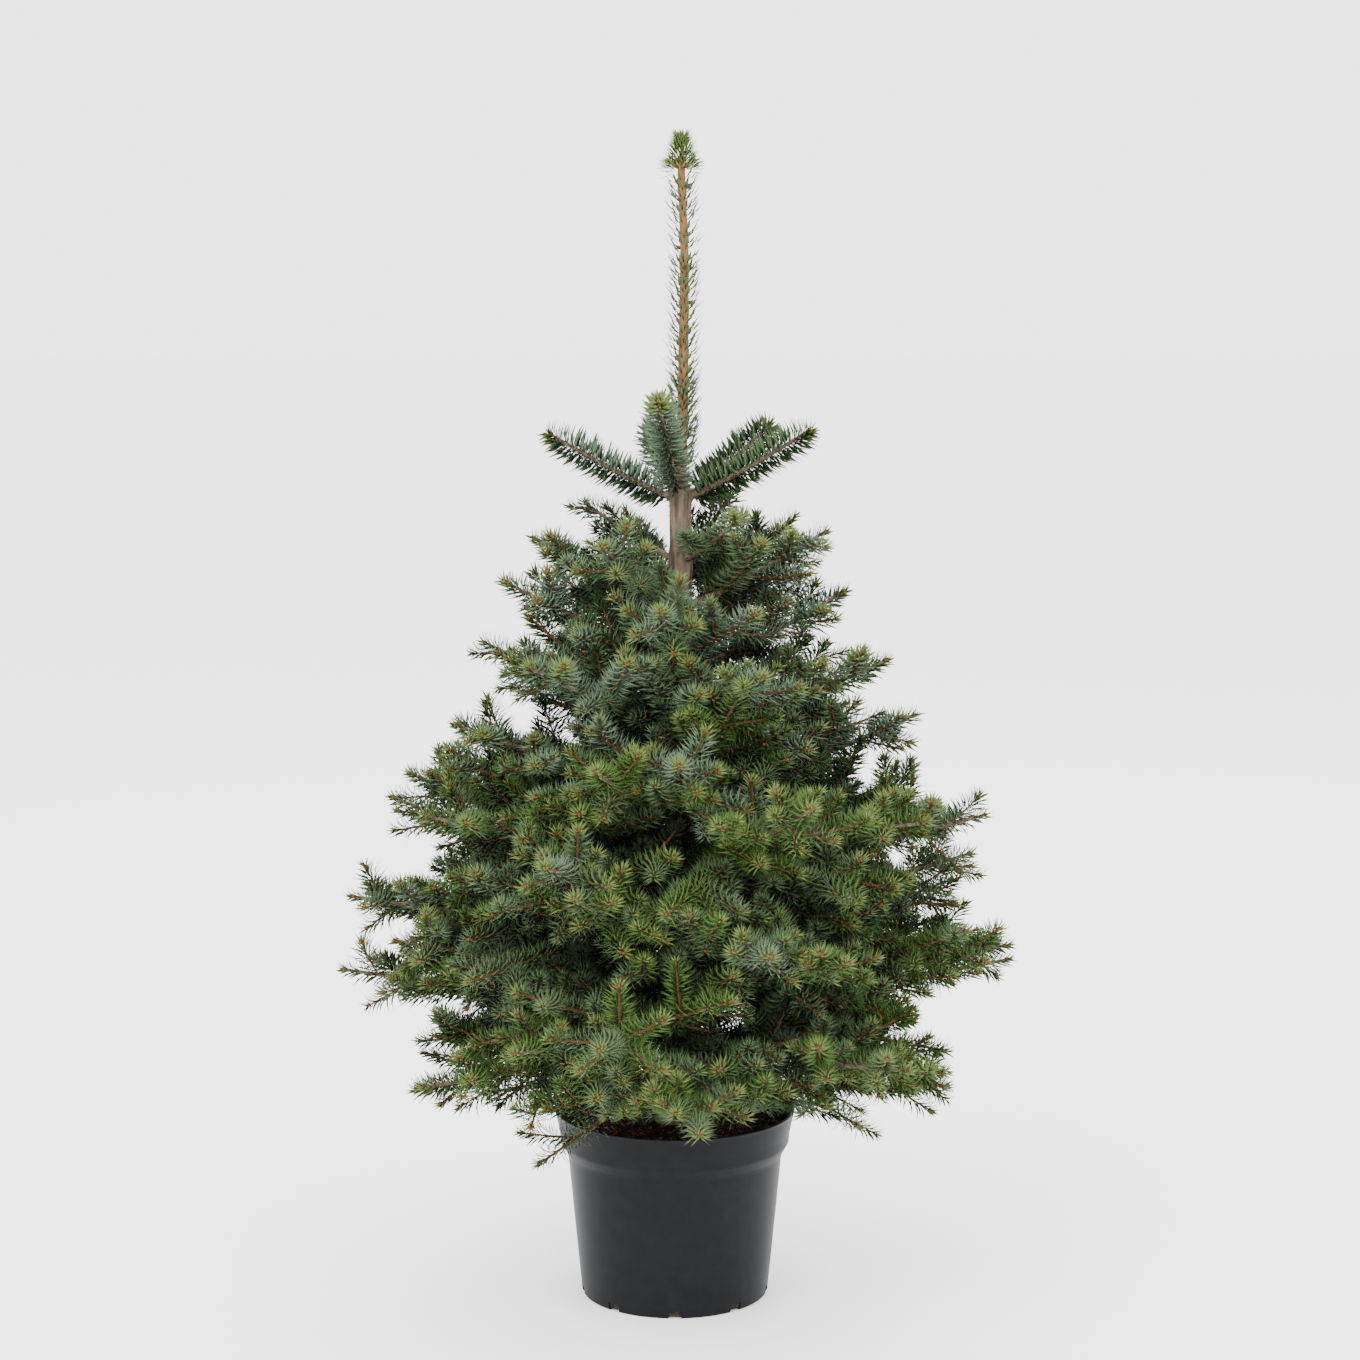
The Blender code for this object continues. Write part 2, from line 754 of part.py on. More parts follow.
def make_masses(boughs, fixed, materials):
    """Every mass of foliage, each fused into one body in its own space.

    The masses take turns to place their next spray, so that none crowds out another.
    """
    stems = [stem_solid(bough) for bough in boughs]
    placed = [(number, boxed(*stem)) for number, stem in enumerate(stems)]
    placed += [(None, box) for box in fixed]
    shoots = [list_shoots(number, bough) for number, bough in enumerate(boughs)]
    chances = [random.Random(SEED + 500 + number) for number in range(len(boughs))]
    sprays = [[] for _ in boughs]
    for rank in range(max(len(own) for own in shoots)):
        for number, bough in enumerate(boughs):
            if rank >= len(shoots[number]) or not fits_a_spray(shoots[number][rank]):
                continue
            if not in_own_space(shoots[number][rank]["line"][-1], number, boughs):
                continue
            others = [box for owner, box in placed if owner != number]
            solid = clear_spray(shoots[number][rank], bough, others, chances[number])
            if solid:
                sprays[number].append(solid)
                placed.append((number, boxed(*solid)))
    for number in range(len(boughs)):
        union(f"spray_{number + 1:02d}", stems[number], materials["bark"],
              sprays[number], materials["needles"])


def fits_a_spray(shoot):
    """True for a shoot that is long enough, and not so fine that a tooth stands for it."""
    length = (shoot["line"][-1] - shoot["line"][0]).length
    return shoot["order"] < 2 and length > SHORTEST_SPRAY


def clear_spray(shoot, bough, others, chance):
    """One shoot's spray, turned and shortened until it is clear of the others, or none."""
    root = shoot["line"][0]
    span = shoot["line"][-1] - root
    heading = span.normalized()
    sides = (0, 1, 2) if shoot["order"] == 0 else (0, 1)
    first_roll = 180.0 + chance.uniform(-22.0, 22.0)
    for shrink in (1.0, 0.85, 0.7):
        length = span.length * shrink + SPRAY_TIP
        teeth = 3 if length < LONG_SPRAY else 4
        for roll_change in (0.0, 28.0, -28.0, 56.0, -56.0):
            settings = dict(
                root=root, heading=heading, length=length, reach=bough["spread"] * shrink,
                teeth=teeth, roll=math.radians(first_roll + roll_change), sides=sides)
            if is_clear(*spray_solid(**settings, grow=CLEARANCE), others):
                return spray_solid(**settings)
    return None


def leader_ring(height, more):
    """A ring round the leading shoot, straight between the shoot's own rings."""
    heights = leader_heights()
    for low, high in zip(heights, heights[1:]):
        if height <= high:
            break
    share = (height - low) / (high - low)
    first = level_ring(stem_middle(low), stem_radius(low) + more, TRUNK_SIDES)
    second = level_ring(stem_middle(high), stem_radius(high) + more, TRUNK_SIDES)
    return [start.lerp(end, share) for start, end in zip(first, second)]


def make_leader_needles(materials):
    """The leading shoot's needles, standing out of a thin sleeve clear of the shoot.

    The sleeve has short stretches that bear needles and longer plain ones between.
    """
    inner_heights = leader_heights()[:-1]
    foot = inner_heights[0]
    pitch = (inner_heights[-1] - foot) / LEADER_TIERS
    outer_heights = []
    for tier in range(LEADER_TIERS):
        outer_heights += [foot + pitch * tier, foot + pitch * tier + TIER_STRETCH]
    outer_heights.append(inner_heights[-1])
    inner = [leader_ring(height, SLEEVE_GAP) for height in inner_heights]
    outer = [leader_ring(height, SLEEVE_GAP + SLEEVE_WALL) for height in outer_heights]
    vertices = [vertex for ring in inner + outer for vertex in ring]
    skin = len(inner) * TRUNK_SIDES
    faces = []
    for side in range(TRUNK_SIDES):
        corner = (side + 1) % TRUNK_SIDES
        for step in range(len(inner) - 1):
            low = step * TRUNK_SIDES
            high = low + TRUNK_SIDES
            faces.append((low + side, low + corner, high + corner, high + side))
        for end, rim in ((0, skin), (skin - TRUNK_SIDES, len(vertices) - TRUNK_SIDES)):
            faces.append((end + side, end + corner, rim + corner, rim + side))
    needles = []
    for step in range(len(outer) - 1):
        for side in range(TRUNK_SIDES):
            corner = (side + 1) % TRUNK_SIDES
            low = skin + step * TRUNK_SIDES
            high = low + TRUNK_SIDES
            ring = (low + side, low + corner, high + corner, high + side)
            bears = step % 2 == 0 and (3 * side + step // 2) % TRUNK_SIDES < 3
            if not bears:
                faces.append(ring)
                continue
            middle = sum((vertices[index] for index in ring), Vector()) / 4
            out = middle - stem_middle(middle.z)
            out.z = 0.0
            lean = out.normalized() + Vector((0.0, 0.0, 0.8))
            needles.append((ring, middle + lean * (0.72 * NEEDLE_LENGTH)))
    for ring, apex in needles:
        faces += [(ring[edge], ring[(edge + 1) % 4], len(vertices)) for edge in range(4)]
        vertices.append(apex)
    leader = mesh_object("leader_needles", vertices, faces, materials["young_bark"])
    leader.data.materials.append(materials["young"])
    for polygon in leader.data.polygons:
        polygon.material_index = int(max(polygon.vertices) >= len(vertices) - len(needles))
    return leader


def spike(root, heading, length, radius):
    """One needle as a three-sided spike."""
    ring = cross_ring(root, heading, radius, 3)
    return ring + [root + heading * length], [(0, 1, 2), (0, 1, 3), (1, 2, 3), (2, 0, 3)]


def make_top_tuft(materials):
    """The top bud with its side buds and the needles that stand round them."""
    foot = stem_middle(LEADER_TOP) + Vector((0.0, 0.0, GAP))
    rings = []
    for height, radius in ((0.0, 0.0036), (0.010, 0.0066), (0.022, 0.0058), (0.032, 0.0016)):
        rings.append(level_ring(foot + Vector((0.0, 0.0, height)), radius, 6))
    needles = []
    chance = random.Random(SEED + 9)
    for number in range(TUFT_NEEDLES):
        turn = math.radians(GOLDEN_ANGLE * number)
        out = Vector((math.cos(turn), math.sin(turn), 0.0))
        height = 0.004 + 0.020 * number / TUFT_NEEDLES
        steep = 0.5 + 2.2 * number / TUFT_NEEDLES
        heading = (out + Vector((0.0, 0.0, steep))).normalized()
        root = foot + Vector((0.0, 0.0, height)) + out * 0.002
        length = min(TUFT_NEEDLE * chance.uniform(0.9, 1.1), (TREE_TOP - root.z) / heading.z)
        needles.append(spike(root, heading, length, TUFT_NEEDLE_RADIUS))
    last_root = foot + Vector((0.0, 0.0, 0.024))
    needles.append(spike(last_root, Vector((0.0, 0.0, 1.0)), TREE_TOP - last_root.z, 0.0020))
    return union("top_tuft", tube(rings), materials["young_bark"], needles, materials["young"])


def main():
    """Build the whole plant in its pot."""
    clear_scene()
    materials = make_materials()
    pot = make_pot(materials)
    soil = make_soil(materials)
    trunk = make_trunk(materials)
    boughs = list_boughs()
    limbs = make_boughs(boughs, materials)
    leader = make_leader_needles(materials)
    tuft = make_top_tuft(materials)
    fixed = [boxed_object(thing) for thing in [pot, soil, trunk, leader, tuft] + limbs]
    make_masses(boughs, fixed, materials)


main()
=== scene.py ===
import json
import math
import random

import bpy
import numpy as np
from mathutils import Matrix, Vector, noise

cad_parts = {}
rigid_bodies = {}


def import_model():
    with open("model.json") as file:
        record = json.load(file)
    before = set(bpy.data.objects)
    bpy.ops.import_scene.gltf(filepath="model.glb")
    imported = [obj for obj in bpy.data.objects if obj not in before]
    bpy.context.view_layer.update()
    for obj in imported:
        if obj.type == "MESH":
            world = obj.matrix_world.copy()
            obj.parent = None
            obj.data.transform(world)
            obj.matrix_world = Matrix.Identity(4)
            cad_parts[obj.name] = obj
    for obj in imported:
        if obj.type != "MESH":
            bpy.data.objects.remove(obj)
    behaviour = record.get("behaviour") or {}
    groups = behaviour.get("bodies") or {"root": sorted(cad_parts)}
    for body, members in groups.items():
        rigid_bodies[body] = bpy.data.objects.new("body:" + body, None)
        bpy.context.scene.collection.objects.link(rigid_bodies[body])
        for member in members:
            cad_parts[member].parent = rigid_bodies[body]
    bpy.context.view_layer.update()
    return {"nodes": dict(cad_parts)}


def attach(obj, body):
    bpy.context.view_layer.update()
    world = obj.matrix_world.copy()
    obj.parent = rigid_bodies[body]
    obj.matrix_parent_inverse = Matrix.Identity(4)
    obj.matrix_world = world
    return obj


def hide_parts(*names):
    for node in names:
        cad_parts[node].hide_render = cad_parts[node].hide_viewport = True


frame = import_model()
nodes = frame["nodes"]
boughNodes = sorted(name for name in nodes if name.startswith("bough_"))
sprayNodes = sorted(name for name in nodes if name.startswith("spray_"))
goldenAngle = 137.5  # from each needle, bud or inner bough to the next one round the stem
upwards = np.array([0.0, 0.0, 1.0])


# camera: the photograph's place, level with the leading shoot and looking a little down
cameraView = {"away": 3.507, "high": 1.214, "aside": 0.0060, "pitch": 8.0, "lens": 82.0, "sensor": 36.0}


def addCamera():
    lens = bpy.data.cameras.new("photoCamera")
    lens.sensor_width = cameraView["sensor"]
    lens.lens = cameraView["lens"]
    camera = bpy.data.objects.new("photoCamera", lens)
    bpy.context.scene.collection.objects.link(camera)
    camera.location = (cameraView["aside"], -cameraView["away"], cameraView["high"])
    camera.rotation_euler = (math.radians(90.0 - cameraView["pitch"]), 0.0, 0.0)
    bpy.context.scene.camera = camera


# a shader group for plastic, compost and bark: soft blotches between two colours, and a fine relief
speckleForm = {"scale": 40.0, "dark": (0.1, 0.1, 0.1), "light": (0.2, 0.2, 0.2), "detail": 5.0,
               "roughness": 0.62, "darkEnd": 0.36, "lightEnd": 0.66}


def addSocket(group, name, direction, kind, value=None):
    socket = group.interface.new_socket(name=name, in_out=direction, socket_type=kind)
    if value is not None:
        socket.default_value = value


def linkAll(tree, links):  # giving node, its output, taking node, its input
    for giver, output, taker, intake in links:
        tree.links.new(giver.outputs[output], taker.inputs[intake])


def makeSpeckleGroup():
    group = bpy.data.node_groups.new("speckle", "ShaderNodeTree")
    addSocket(group, "Vector", "INPUT", "NodeSocketVector")
    addSocket(group, "Scale", "INPUT", "NodeSocketFloat", speckleForm["scale"])
    addSocket(group, "Dark", "INPUT", "NodeSocketColor", (*speckleForm["dark"], 1.0))
    addSocket(group, "Light", "INPUT", "NodeSocketColor", (*speckleForm["light"], 1.0))
    addSocket(group, "Color", "OUTPUT", "NodeSocketColor")
    addSocket(group, "Height", "OUTPUT", "NodeSocketFloat")
    inlet = group.nodes.new("NodeGroupInput")
    outlet = group.nodes.new("NodeGroupOutput")
    blotch = group.nodes.new("ShaderNodeTexNoise")
    blotch.inputs["Detail"].default_value = speckleForm["detail"]
    blotch.inputs["Roughness"].default_value = speckleForm["roughness"]
    contrast = group.nodes.new("ShaderNodeMapRange")
    contrast.inputs["From Min"].default_value = speckleForm["darkEnd"]
    contrast.inputs["From Max"].default_value = speckleForm["lightEnd"]
    blend = group.nodes.new("ShaderNodeMix")
    blend.data_type = "RGBA"
    linkAll(group, (
        (inlet, "Vector", blotch, "Vector"), (inlet, "Scale", blotch, "Scale"),
        (blotch, "Fac", contrast, "Value"), (contrast, "Result", blend, "Factor"),
        (inlet, "Dark", blend, "A"), (inlet, "Light", blend, "B"),
        (blend, "Result", outlet, "Color"), (blotch, "Fac", outlet, "Height")))
    return group


speckleGroup = makeSpeckleGroup()
dullGloss = 0.14  # needles, bark and compost hardly shine


def plainMaterial(name, colour, roughness, gloss=dullGloss):
    material = bpy.data.materials.new(name)
    material.use_nodes = True
    shader = material.node_tree.nodes["Principled BSDF"]
    shader.inputs["Base Color"].default_value = (*colour, 1.0)
    shader.inputs["Roughness"].default_value = roughness
    shader.inputs["Specular IOR Level"].default_value = gloss
    return material


def speckledMaterial(name, look):
    material = plainMaterial(name, look["light"], look["roughness"], look.get("gloss", dullGloss))
    tree = material.node_tree
    shader = tree.nodes["Principled BSDF"]
    place = tree.nodes.new("ShaderNodeTexCoord")
    stretch = tree.nodes.new("ShaderNodeMapping")
    stretch.inputs["Scale"].default_value = look.get("stretch", (1.0, 1.0, 1.0))
    speckle = tree.nodes.new("ShaderNodeGroup")
    speckle.node_tree = speckleGroup
    speckle.inputs["Scale"].default_value = look["scale"]
    speckle.inputs["Dark"].default_value = (*look["dark"], 1.0)
    speckle.inputs["Light"].default_value = (*look["light"], 1.0)
    bump = tree.nodes.new("ShaderNodeBump")
    bump.inputs["Strength"].default_value = look["bump"]
    bump.inputs["Distance"].default_value = look["depth"]
    linkAll(tree, (
        (place, "Object", stretch, "Vector"), (stretch, "Vector", speckle, "Vector"),
        (speckle, "Color", shader, "Base Color"), (speckle, "Height", bump, "Height"),
        (bump, "Normal", shader, "Normal")))
    return material


# operators work on what is selected, so everything else is let go first
def letGo():
    if bpy.context.object and bpy.context.object.mode != "OBJECT":
        bpy.ops.object.mode_set(mode="OBJECT")
    bpy.ops.object.select_all(action="DESELECT")


def pick(piece):
    letGo()
    piece.select_set(True)
    bpy.context.view_layer.objects.active = piece


def enlist(piece, replaced):
    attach(piece, "root")
    if replaced:
        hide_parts(*replaced)


def settle(piece, name, material, replaced, smoothAngle):  # what each modelled piece ends with
    pick(piece)
    piece.name = name
    piece.data.name = name
    piece.data.materials.clear()
    piece.data.materials.append(material)
    bpy.ops.object.transform_apply(location=True, rotation=True, scale=True)
    bpy.ops.object.shade_smooth_by_angle(angle=math.radians(smoothAngle))
    enlist(piece, replaced)


def firstRing(sides, radius, place):  # filled, and left in edit mode for the next rings
    letGo()
    bpy.ops.mesh.primitive_circle_add(vertices=sides, radius=radius, fill_type="NGON", location=place)
    piece = bpy.context.object
    bpy.ops.object.transform_apply(location=True, rotation=False, scale=False)
    bpy.ops.object.mode_set(mode="EDIT")
    bpy.ops.mesh.select_all(action="SELECT")
    return piece


def nextRing(move, widen, centre):
    bpy.ops.mesh.extrude_region_move(TRANSFORM_OT_translate={"value": move})
    bpy.ops.transform.resize(value=(widen, widen, 1.0), center_override=centre)


def faceOutwards():  # the last step in edit mode
    bpy.ops.mesh.select_all(action="SELECT")
    bpy.ops.mesh.normals_make_consistent(inside=False)
    bpy.ops.object.mode_set(mode="OBJECT")


def turnedShell(name, profile, sides):  # a ring drawn up, out, in and down along a profile
    radius, height = profile[0]
    piece = firstRing(sides, radius, (0.0, 0.0, height))
    piece.name = name
    for (oldRadius, oldHeight), (newRadius, newHeight) in zip(profile, profile[1:]):
        nextRing((0.0, 0.0, newHeight - oldHeight), newRadius / oldRadius, (0.0, 0.0, newHeight))
    faceOutwards()
    return piece


# pot: a thin satin container with a flared band, a rounded lip and notches round its foot
potForm = {
    "height": 0.2197, "lip": 0.1400, "base": 0.1088, "wall": 0.0017, "floor": 0.0026, "sides": 144,
    "bodyTop": (0.1660, 0.1246), "bandFoot": (0.1810, 0.1330), "bandTop": (0.1930, 0.1342),
    "disc": 0.030, "bodyRings": (0.05, 0.10), "lipFoot": 0.205, "foot": 0.0030, "footSteps": 4,
    "bead": 0.0011, "beadDrop": 0.006, "beadSteps": 6, "beadStart": -60.0, "beadTurn": 240.0,
    "notches": 9, "firstNotch": 270.0, "notchWide": 0.0150, "notchHigh": 0.0095, "notchDeep": 0.0100,
    "smoothAngle": 32.0,
}
# rings close to each bend of the wall keep the bends crisp
outsideRings = (("bodyTop", -0.004), ("bodyTop", 0.001), ("bodyTop", 0.004), ("bandFoot", -0.003),
                ("bandFoot", 0.0), ("bandFoot", 0.002), ("bandTop", -0.001), ("bandTop", 0.002))
insideRings = (("bandTop", 0.002), ("bandTop", -0.001), ("bandFoot", 0.0), ("bodyTop", 0.001))
potLook = {"dark": (0.0048, 0.0052, 0.0063), "light": (0.0066, 0.0071, 0.0084), "scale": 60.0,
           "roughness": 0.42, "gloss": 0.08, "bump": 0.06, "depth": 0.0004}


def between(points, place, eased=False):  # from one (place, value) point to the next, straight or eased
    if place <= points[0][0]:
        return points[0][1]
    for (first, low), (second, high) in zip(points, points[1:]):
        if place <= second:
            share = (place - first) / (second - first)
            ease = share * (3.0 - 2.0 * share) if eased else 1.0
            return low + (high - low) * share * ease
    return points[-1][1]


def potOuter(height):
    points = ((0.0, potForm["base"]), potForm["bodyTop"], potForm["bandFoot"], potForm["bandTop"],
              (potForm["height"], potForm["lip"]))
    return between(points, height)


def ringHeights(rings):
    return [potForm[bend][0] + offset for bend, offset in rings]


def potProfile():
    foot = potForm["foot"]
    top = potForm["height"]
    bead = potForm["bead"]
    profile = [(potForm["disc"], 0.0)]
    for step in range(potForm["footSteps"] + 1):  # the rounded edge of the foot
        angle = math.radians(90.0 * step / potForm["footSteps"])
        profile.append((potForm["base"] - foot + foot * math.sin(angle), foot - foot * math.cos(angle)))
    for height in (*potForm["bodyRings"], *ringHeights(outsideRings), potForm["lipFoot"],
                   top - potForm["beadDrop"]):
        profile.append((potOuter(height), height))
    for step in range(potForm["beadSteps"] + 1):  # the lip is rolled over a little thicker than the wall
        angle = math.radians(potForm["beadStart"] + potForm["beadTurn"] * step / potForm["beadSteps"])
        profile.append((potForm["lip"] - bead + bead * math.cos(angle),
                        top - bead + bead * math.sin(angle)))
    for height in (potForm["lipFoot"], *ringHeights(insideRings), potForm["bodyRings"][1], potForm["floor"]):
        profile.append((potOuter(height) - potForm["wall"], height))
    profile.append((potForm["disc"], potForm["floor"]))
    return profile


def cutNotch(pot, angle):
    letGo()
    foot = potForm["foot"]
    bpy.ops.mesh.primitive_cube_add(
        size=1.0, rotation=(0.0, 0.0, angle),
        location=(potForm["base"] * math.cos(angle), potForm["base"] * math.sin(angle),
                  potForm["notchHigh"] / 2 - foot / 2),
        scale=(2 * potForm["notchDeep"], potForm["notchWide"], potForm["notchHigh"] + foot))
    cutter = bpy.context.object
    bpy.ops.object.transform_apply(location=True, rotation=True, scale=True)
    pick(pot)
    cut = pot.modifiers.new("notch", "BOOLEAN")
    cut.operation = "DIFFERENCE"
    cut.solver = "EXACT"
    cut.object = cutter
    bpy.ops.object.modifier_apply(modifier=cut.name)
    bpy.data.objects.remove(cutter, do_unlink=True)


def makePot():
    pot = turnedShell("pot_shell", potProfile(), potForm["sides"])
    for number in range(potForm["notches"]):
        cutNotch(pot, math.radians(potForm["firstNotch"] + 360.0 * number / potForm["notches"]))
    finish = speckledMaterial("anthracitePlastic", potLook)
    settle(pot, "pot_shell", finish, ["pot"], potForm["smoothAngle"])


# compost: a little hollow, lumpy, strewn with crumbs and reddish bits of bark
soilForm = {
    "edge": 0.2000, "middle": (0.040, 0.2035), "hollow": (0.0850, 0.2010), "gap": 0.0006, "floorGap": 0.0004,
    "disc": 0.030, "core": 0.004, "rings": 26, "sides": 120, "lump": 0.0024, "lumpScale": 70.0,
    "lumpNoise": (0.8, 2.0, 4), "calmEdge": 0.01, "flatEdge": 0.001, "flatHeight": 0.0001,
    "smoothAngle": 60.0,
}
soilLook = {"dark": (0.010, 0.0065, 0.0045), "light": (0.040, 0.024, 0.015), "scale": 160.0,
            "roughness": 0.95, "bump": 0.9, "depth": 0.003}
crumbForm = {"seed": 31, "edge": 0.004, "stem": 0.034, "innermost": 0.04, "sunk": 0.0006, "raised": 0.0018,
             "tilt": 0.30, "girth": 0.30, "corners": 5, "roughness": 0.92}
crumbKinds = {
    "compost_crumbs": {"count": 2600, "long": (0.0012, 0.0038), "colour": (0.020, 0.012, 0.008)},
    "bark_bits": {"count": 700, "long": (0.0025, 0.0080), "colour": (0.105, 0.042, 0.020)},
}


def soilHeight(radius):
    rim = potOuter(soilForm["edge"]) - potForm["wall"] - soilForm["gap"]
    return between((soilForm["middle"], soilForm["hollow"], (rim, soilForm["edge"])), radius)


def makeSoil():
    wall = potForm["wall"] + soilForm["gap"]
    floor = potForm["floor"] + soilForm["floorGap"]
    profile = [(soilForm["disc"], floor)]
    bends = [potForm[bend][0] for bend in ("bodyTop", "bandFoot", "bandTop")]
    for height in (floor, *bends, soilForm["edge"]):
        profile.append((potOuter(height) - wall, height))
    rim = profile[-1][0]
    for step in range(1, soilForm["rings"] + 1):
        radius = rim - (rim - soilForm["core"]) * step / soilForm["rings"]
        profile.append((radius, soilHeight(radius)))
    soil = turnedShell("compost", profile, soilForm["sides"])
    for vertex in soil.data.vertices:
        radius = math.hypot(vertex.co.x, vertex.co.y)
        onTop = vertex.co.z > soilForm["edge"] - soilForm["flatHeight"]
        if onTop and radius < rim - soilForm["flatEdge"]:
            lump = noise.fractal(vertex.co * soilForm["lumpScale"], *soilForm["lumpNoise"])
            fade = min(1.0, (rim - radius) / soilForm["calmEdge"])
            vertex.co.z += soilForm["lump"] * lump * fade
    finish = speckledMaterial("darkCompost", soilLook)
    settle(soil, "compost", finish, ["soil"], soilForm["smoothAngle"])


# joined meshes from arrays: many small closed shapes of one kind
def unit(vectors):
    return vectors / np.maximum(np.linalg.norm(vectors, axis=1, keepdims=True), 1e-9)


def meshPiece(name, points, triangles, slots, materials, replaced=()):
    mesh = bpy.data.meshes.new(name)
    mesh.vertices.add(len(points))
    mesh.vertices.foreach_set("co", np.asarray(points, np.float32).ravel())
    mesh.loops.add(len(triangles) * 3)
    mesh.loops.foreach_set("vertex_index", np.asarray(triangles, np.int32).ravel())
    mesh.polygons.add(len(triangles))
    mesh.polygons.foreach_set("loop_start", np.arange(0, len(triangles) * 3, 3, dtype=np.int32))
    mesh.polygons.foreach_set("material_index", np.asarray(slots, np.int32))
    for material in materials:
        mesh.materials.append(material)
    mesh.update(calc_edges=True)
    piece = bpy.data.objects.new(name, mesh)
    bpy.context.scene.collection.objects.link(piece)
    enlist(piece, replaced)


def turnedOut(points, pattern):  # flips the pattern where its volume comes out negative
    corners = points[pattern] - points.mean(0)
    volume = np.einsum("ij,ij->i", corners[:, 0], np.cross(corners[:, 1], corners[:, 2])).sum()
    return pattern if volume > 0 else pattern[:, ::-1]


lumpBulge = 0.42  # how far along a lump or bud its widest ring sits
nearlyUpright = 0.95  # a heading steeper than this is turned about another axis


def lumpPiece(name, roots, headings, lengths, girth, corners, finish):  # a ring between two points
    count = len(roots)
    up = np.tile(upwards, (count, 1))
    up[np.abs(headings[:, 2]) > nearlyUpright] = [0.0, 1.0, 0.0]
    right = unit(np.cross(headings, up))
    above = np.cross(right, headings)
    points = [roots]
    for corner in range(corners):
        angle = math.tau * corner / corners
        spoke = right * math.cos(angle) + above * math.sin(angle)
        points.append(roots + headings * (lengths * lumpBulge)[:, None] + spoke * (lengths * girth)[:, None])
    points.append(roots + headings * lengths[:, None])
    stack = np.stack(points, 1).reshape(-1, 3)
    pattern = []
    tip = corners + 1
    for corner in range(corners):
        following = 1 + (corner + 1) % corners
        pattern.append((0, following, 1 + corner))
        pattern.append((tip, 1 + corner, following))
    pattern = turnedOut(stack[:tip + 1], np.array(pattern))
    base = (np.arange(count) * (corners + 2))[:, None, None]
    triangles = (pattern[None] + base).reshape(-1, 3)
    meshPiece(name, stack, triangles, np.zeros(len(triangles)), [finish])


def makeCrumbs():
    chance = np.random.default_rng(crumbForm["seed"])
    rim = potOuter(soilForm["edge"]) - potForm["wall"] - crumbForm["edge"]
    for name, kind in crumbKinds.items():
        count = kind["count"]
        radius = np.sqrt(chance.uniform(crumbForm["innermost"], 1.0, count)) * rim
        turn = chance.uniform(0.0, math.tau, count)
        height = np.array([soilHeight(value) for value in radius])
        height = height + chance.uniform(-crumbForm["sunk"], crumbForm["raised"], count)
        roots = np.stack([radius * np.cos(turn), radius * np.sin(turn), height], 1)
        heading = unit(np.stack([chance.normal(size=count), chance.normal(size=count),
                                 chance.normal(size=count) * crumbForm["tilt"]], 1))
        lengths = chance.uniform(*kind["long"], count)
        tips = roots + heading * lengths[:, None]
        fits = np.hypot(tips[:, 0], tips[:, 1]) < rim
        clear = np.hypot(roots[:, 0], roots[:, 1]) > crumbForm["stem"]
        keep = fits & clear
        finish = plainMaterial(name + "Finish", kind["colour"], crumbForm["roughness"])
        lumpPiece(name, roots[keep], heading[keep], lengths[keep], crumbForm["girth"],
                  crumbForm["corners"], finish)


# the stem's sizes, as the solids have them
stem = {
    "foot": 0.2038, "footRadius": 0.0185, "ring": 0.9340, "ringRadius": 0.0118, "leaderFoot": 0.0068,
    "leaderTop": 1.3000, "leaderTopRadius": 0.0042, "top": 1.3460, "flare": 0.0090, "flareHeight": 0.0140,
    "swell": 0.0020, "collar": 0.0090, "sway": 0.0030, "swayTurns": 2.2, "flareRings": (0.010, 0.030),
    "leaderClear": 0.030, "leaderBareEnd": 0.012, "leaderSteps": 5,
    "lean": ((0.20, 0.0020), (0.50, 0.0040), (0.72, 0.0065), (0.94, 0.0065), (1.06, 0.0096),
             (1.20, 0.0110), (1.30, 0.0076)),
}

# the growth rule's sizes and seed, as the solids have them
growth = {
    "seed": 25, "gap": 0.0003, "yearShoot": 0.078, "shortestTwig": 0.040, "boughRadius": 0.0068,
    "twigRadius": 0.0017, "boughSteps": 16, "boughVary": (0.96, 1.04), "riseVary": 2.0, "firstShare": 0.30,
    "bareFirstShare": 0.06, "twigSeed": 100, "fork": 52.0, "forkVary": 9.0, "rollVary": 36.0,
    "sideShare": 0.80, "sideVary": (0.84, 1.08), "topShare": 0.9, "alongVary": 0.06, "twigLift": 14.0,
    "twigSteps": 4,
}

# whorls from the top: height, drop of each next bough, azimuths, length, rise, lift, bare share
whorls = (
    (0.938, 0.0, (257,), 0.140, 44, 6, 0),
    (0.932, 0.0, (186, 350, 42, 104), 0.146, 25, 8, 0),
    (0.862, 0.0, (152, 305, 64), 0.122, 23, 8, 0),
    (0.808, 0.001, (352, 240, 108, 38, 178), 0.168, 25, 8, 0),
    (0.752, 0.005, (192, 136, 68, 264, 8), 0.200, 21, 8, 0),
    (0.676, 0.004, (168, 228, 86, 292, 348), 0.238, 18, 8, 0),
    (0.600, 0.005, (204, 270, 112, 16), 0.278, 12, 10, 0),
    (0.508, 0.006, (344, 72, 246, 168), 0.346, 6, 14, 0.20),
    (0.448, 0.004, (20, 110, 186, 286), 0.344, 0, 12, 0),
    (0.378, 0.004, (84, 182, 258, 8), 0.368, -6, 16, 0.20),
    (0.316, 0.004, (142, 334, 214, 274), 0.318, -7, 6, 0.20),
)
topTiers = 2  # the uppermost whorls, whose shoots are plain thick brushes


def stemMiddle(height):
    share = (height - stem["foot"]) / (stem["leaderTop"] - stem["foot"])
    sway = stem["sway"] * math.sin(stem["swayTurns"] * math.pi * share)
    return Vector((between(stem["lean"], height, eased=True), sway, height))


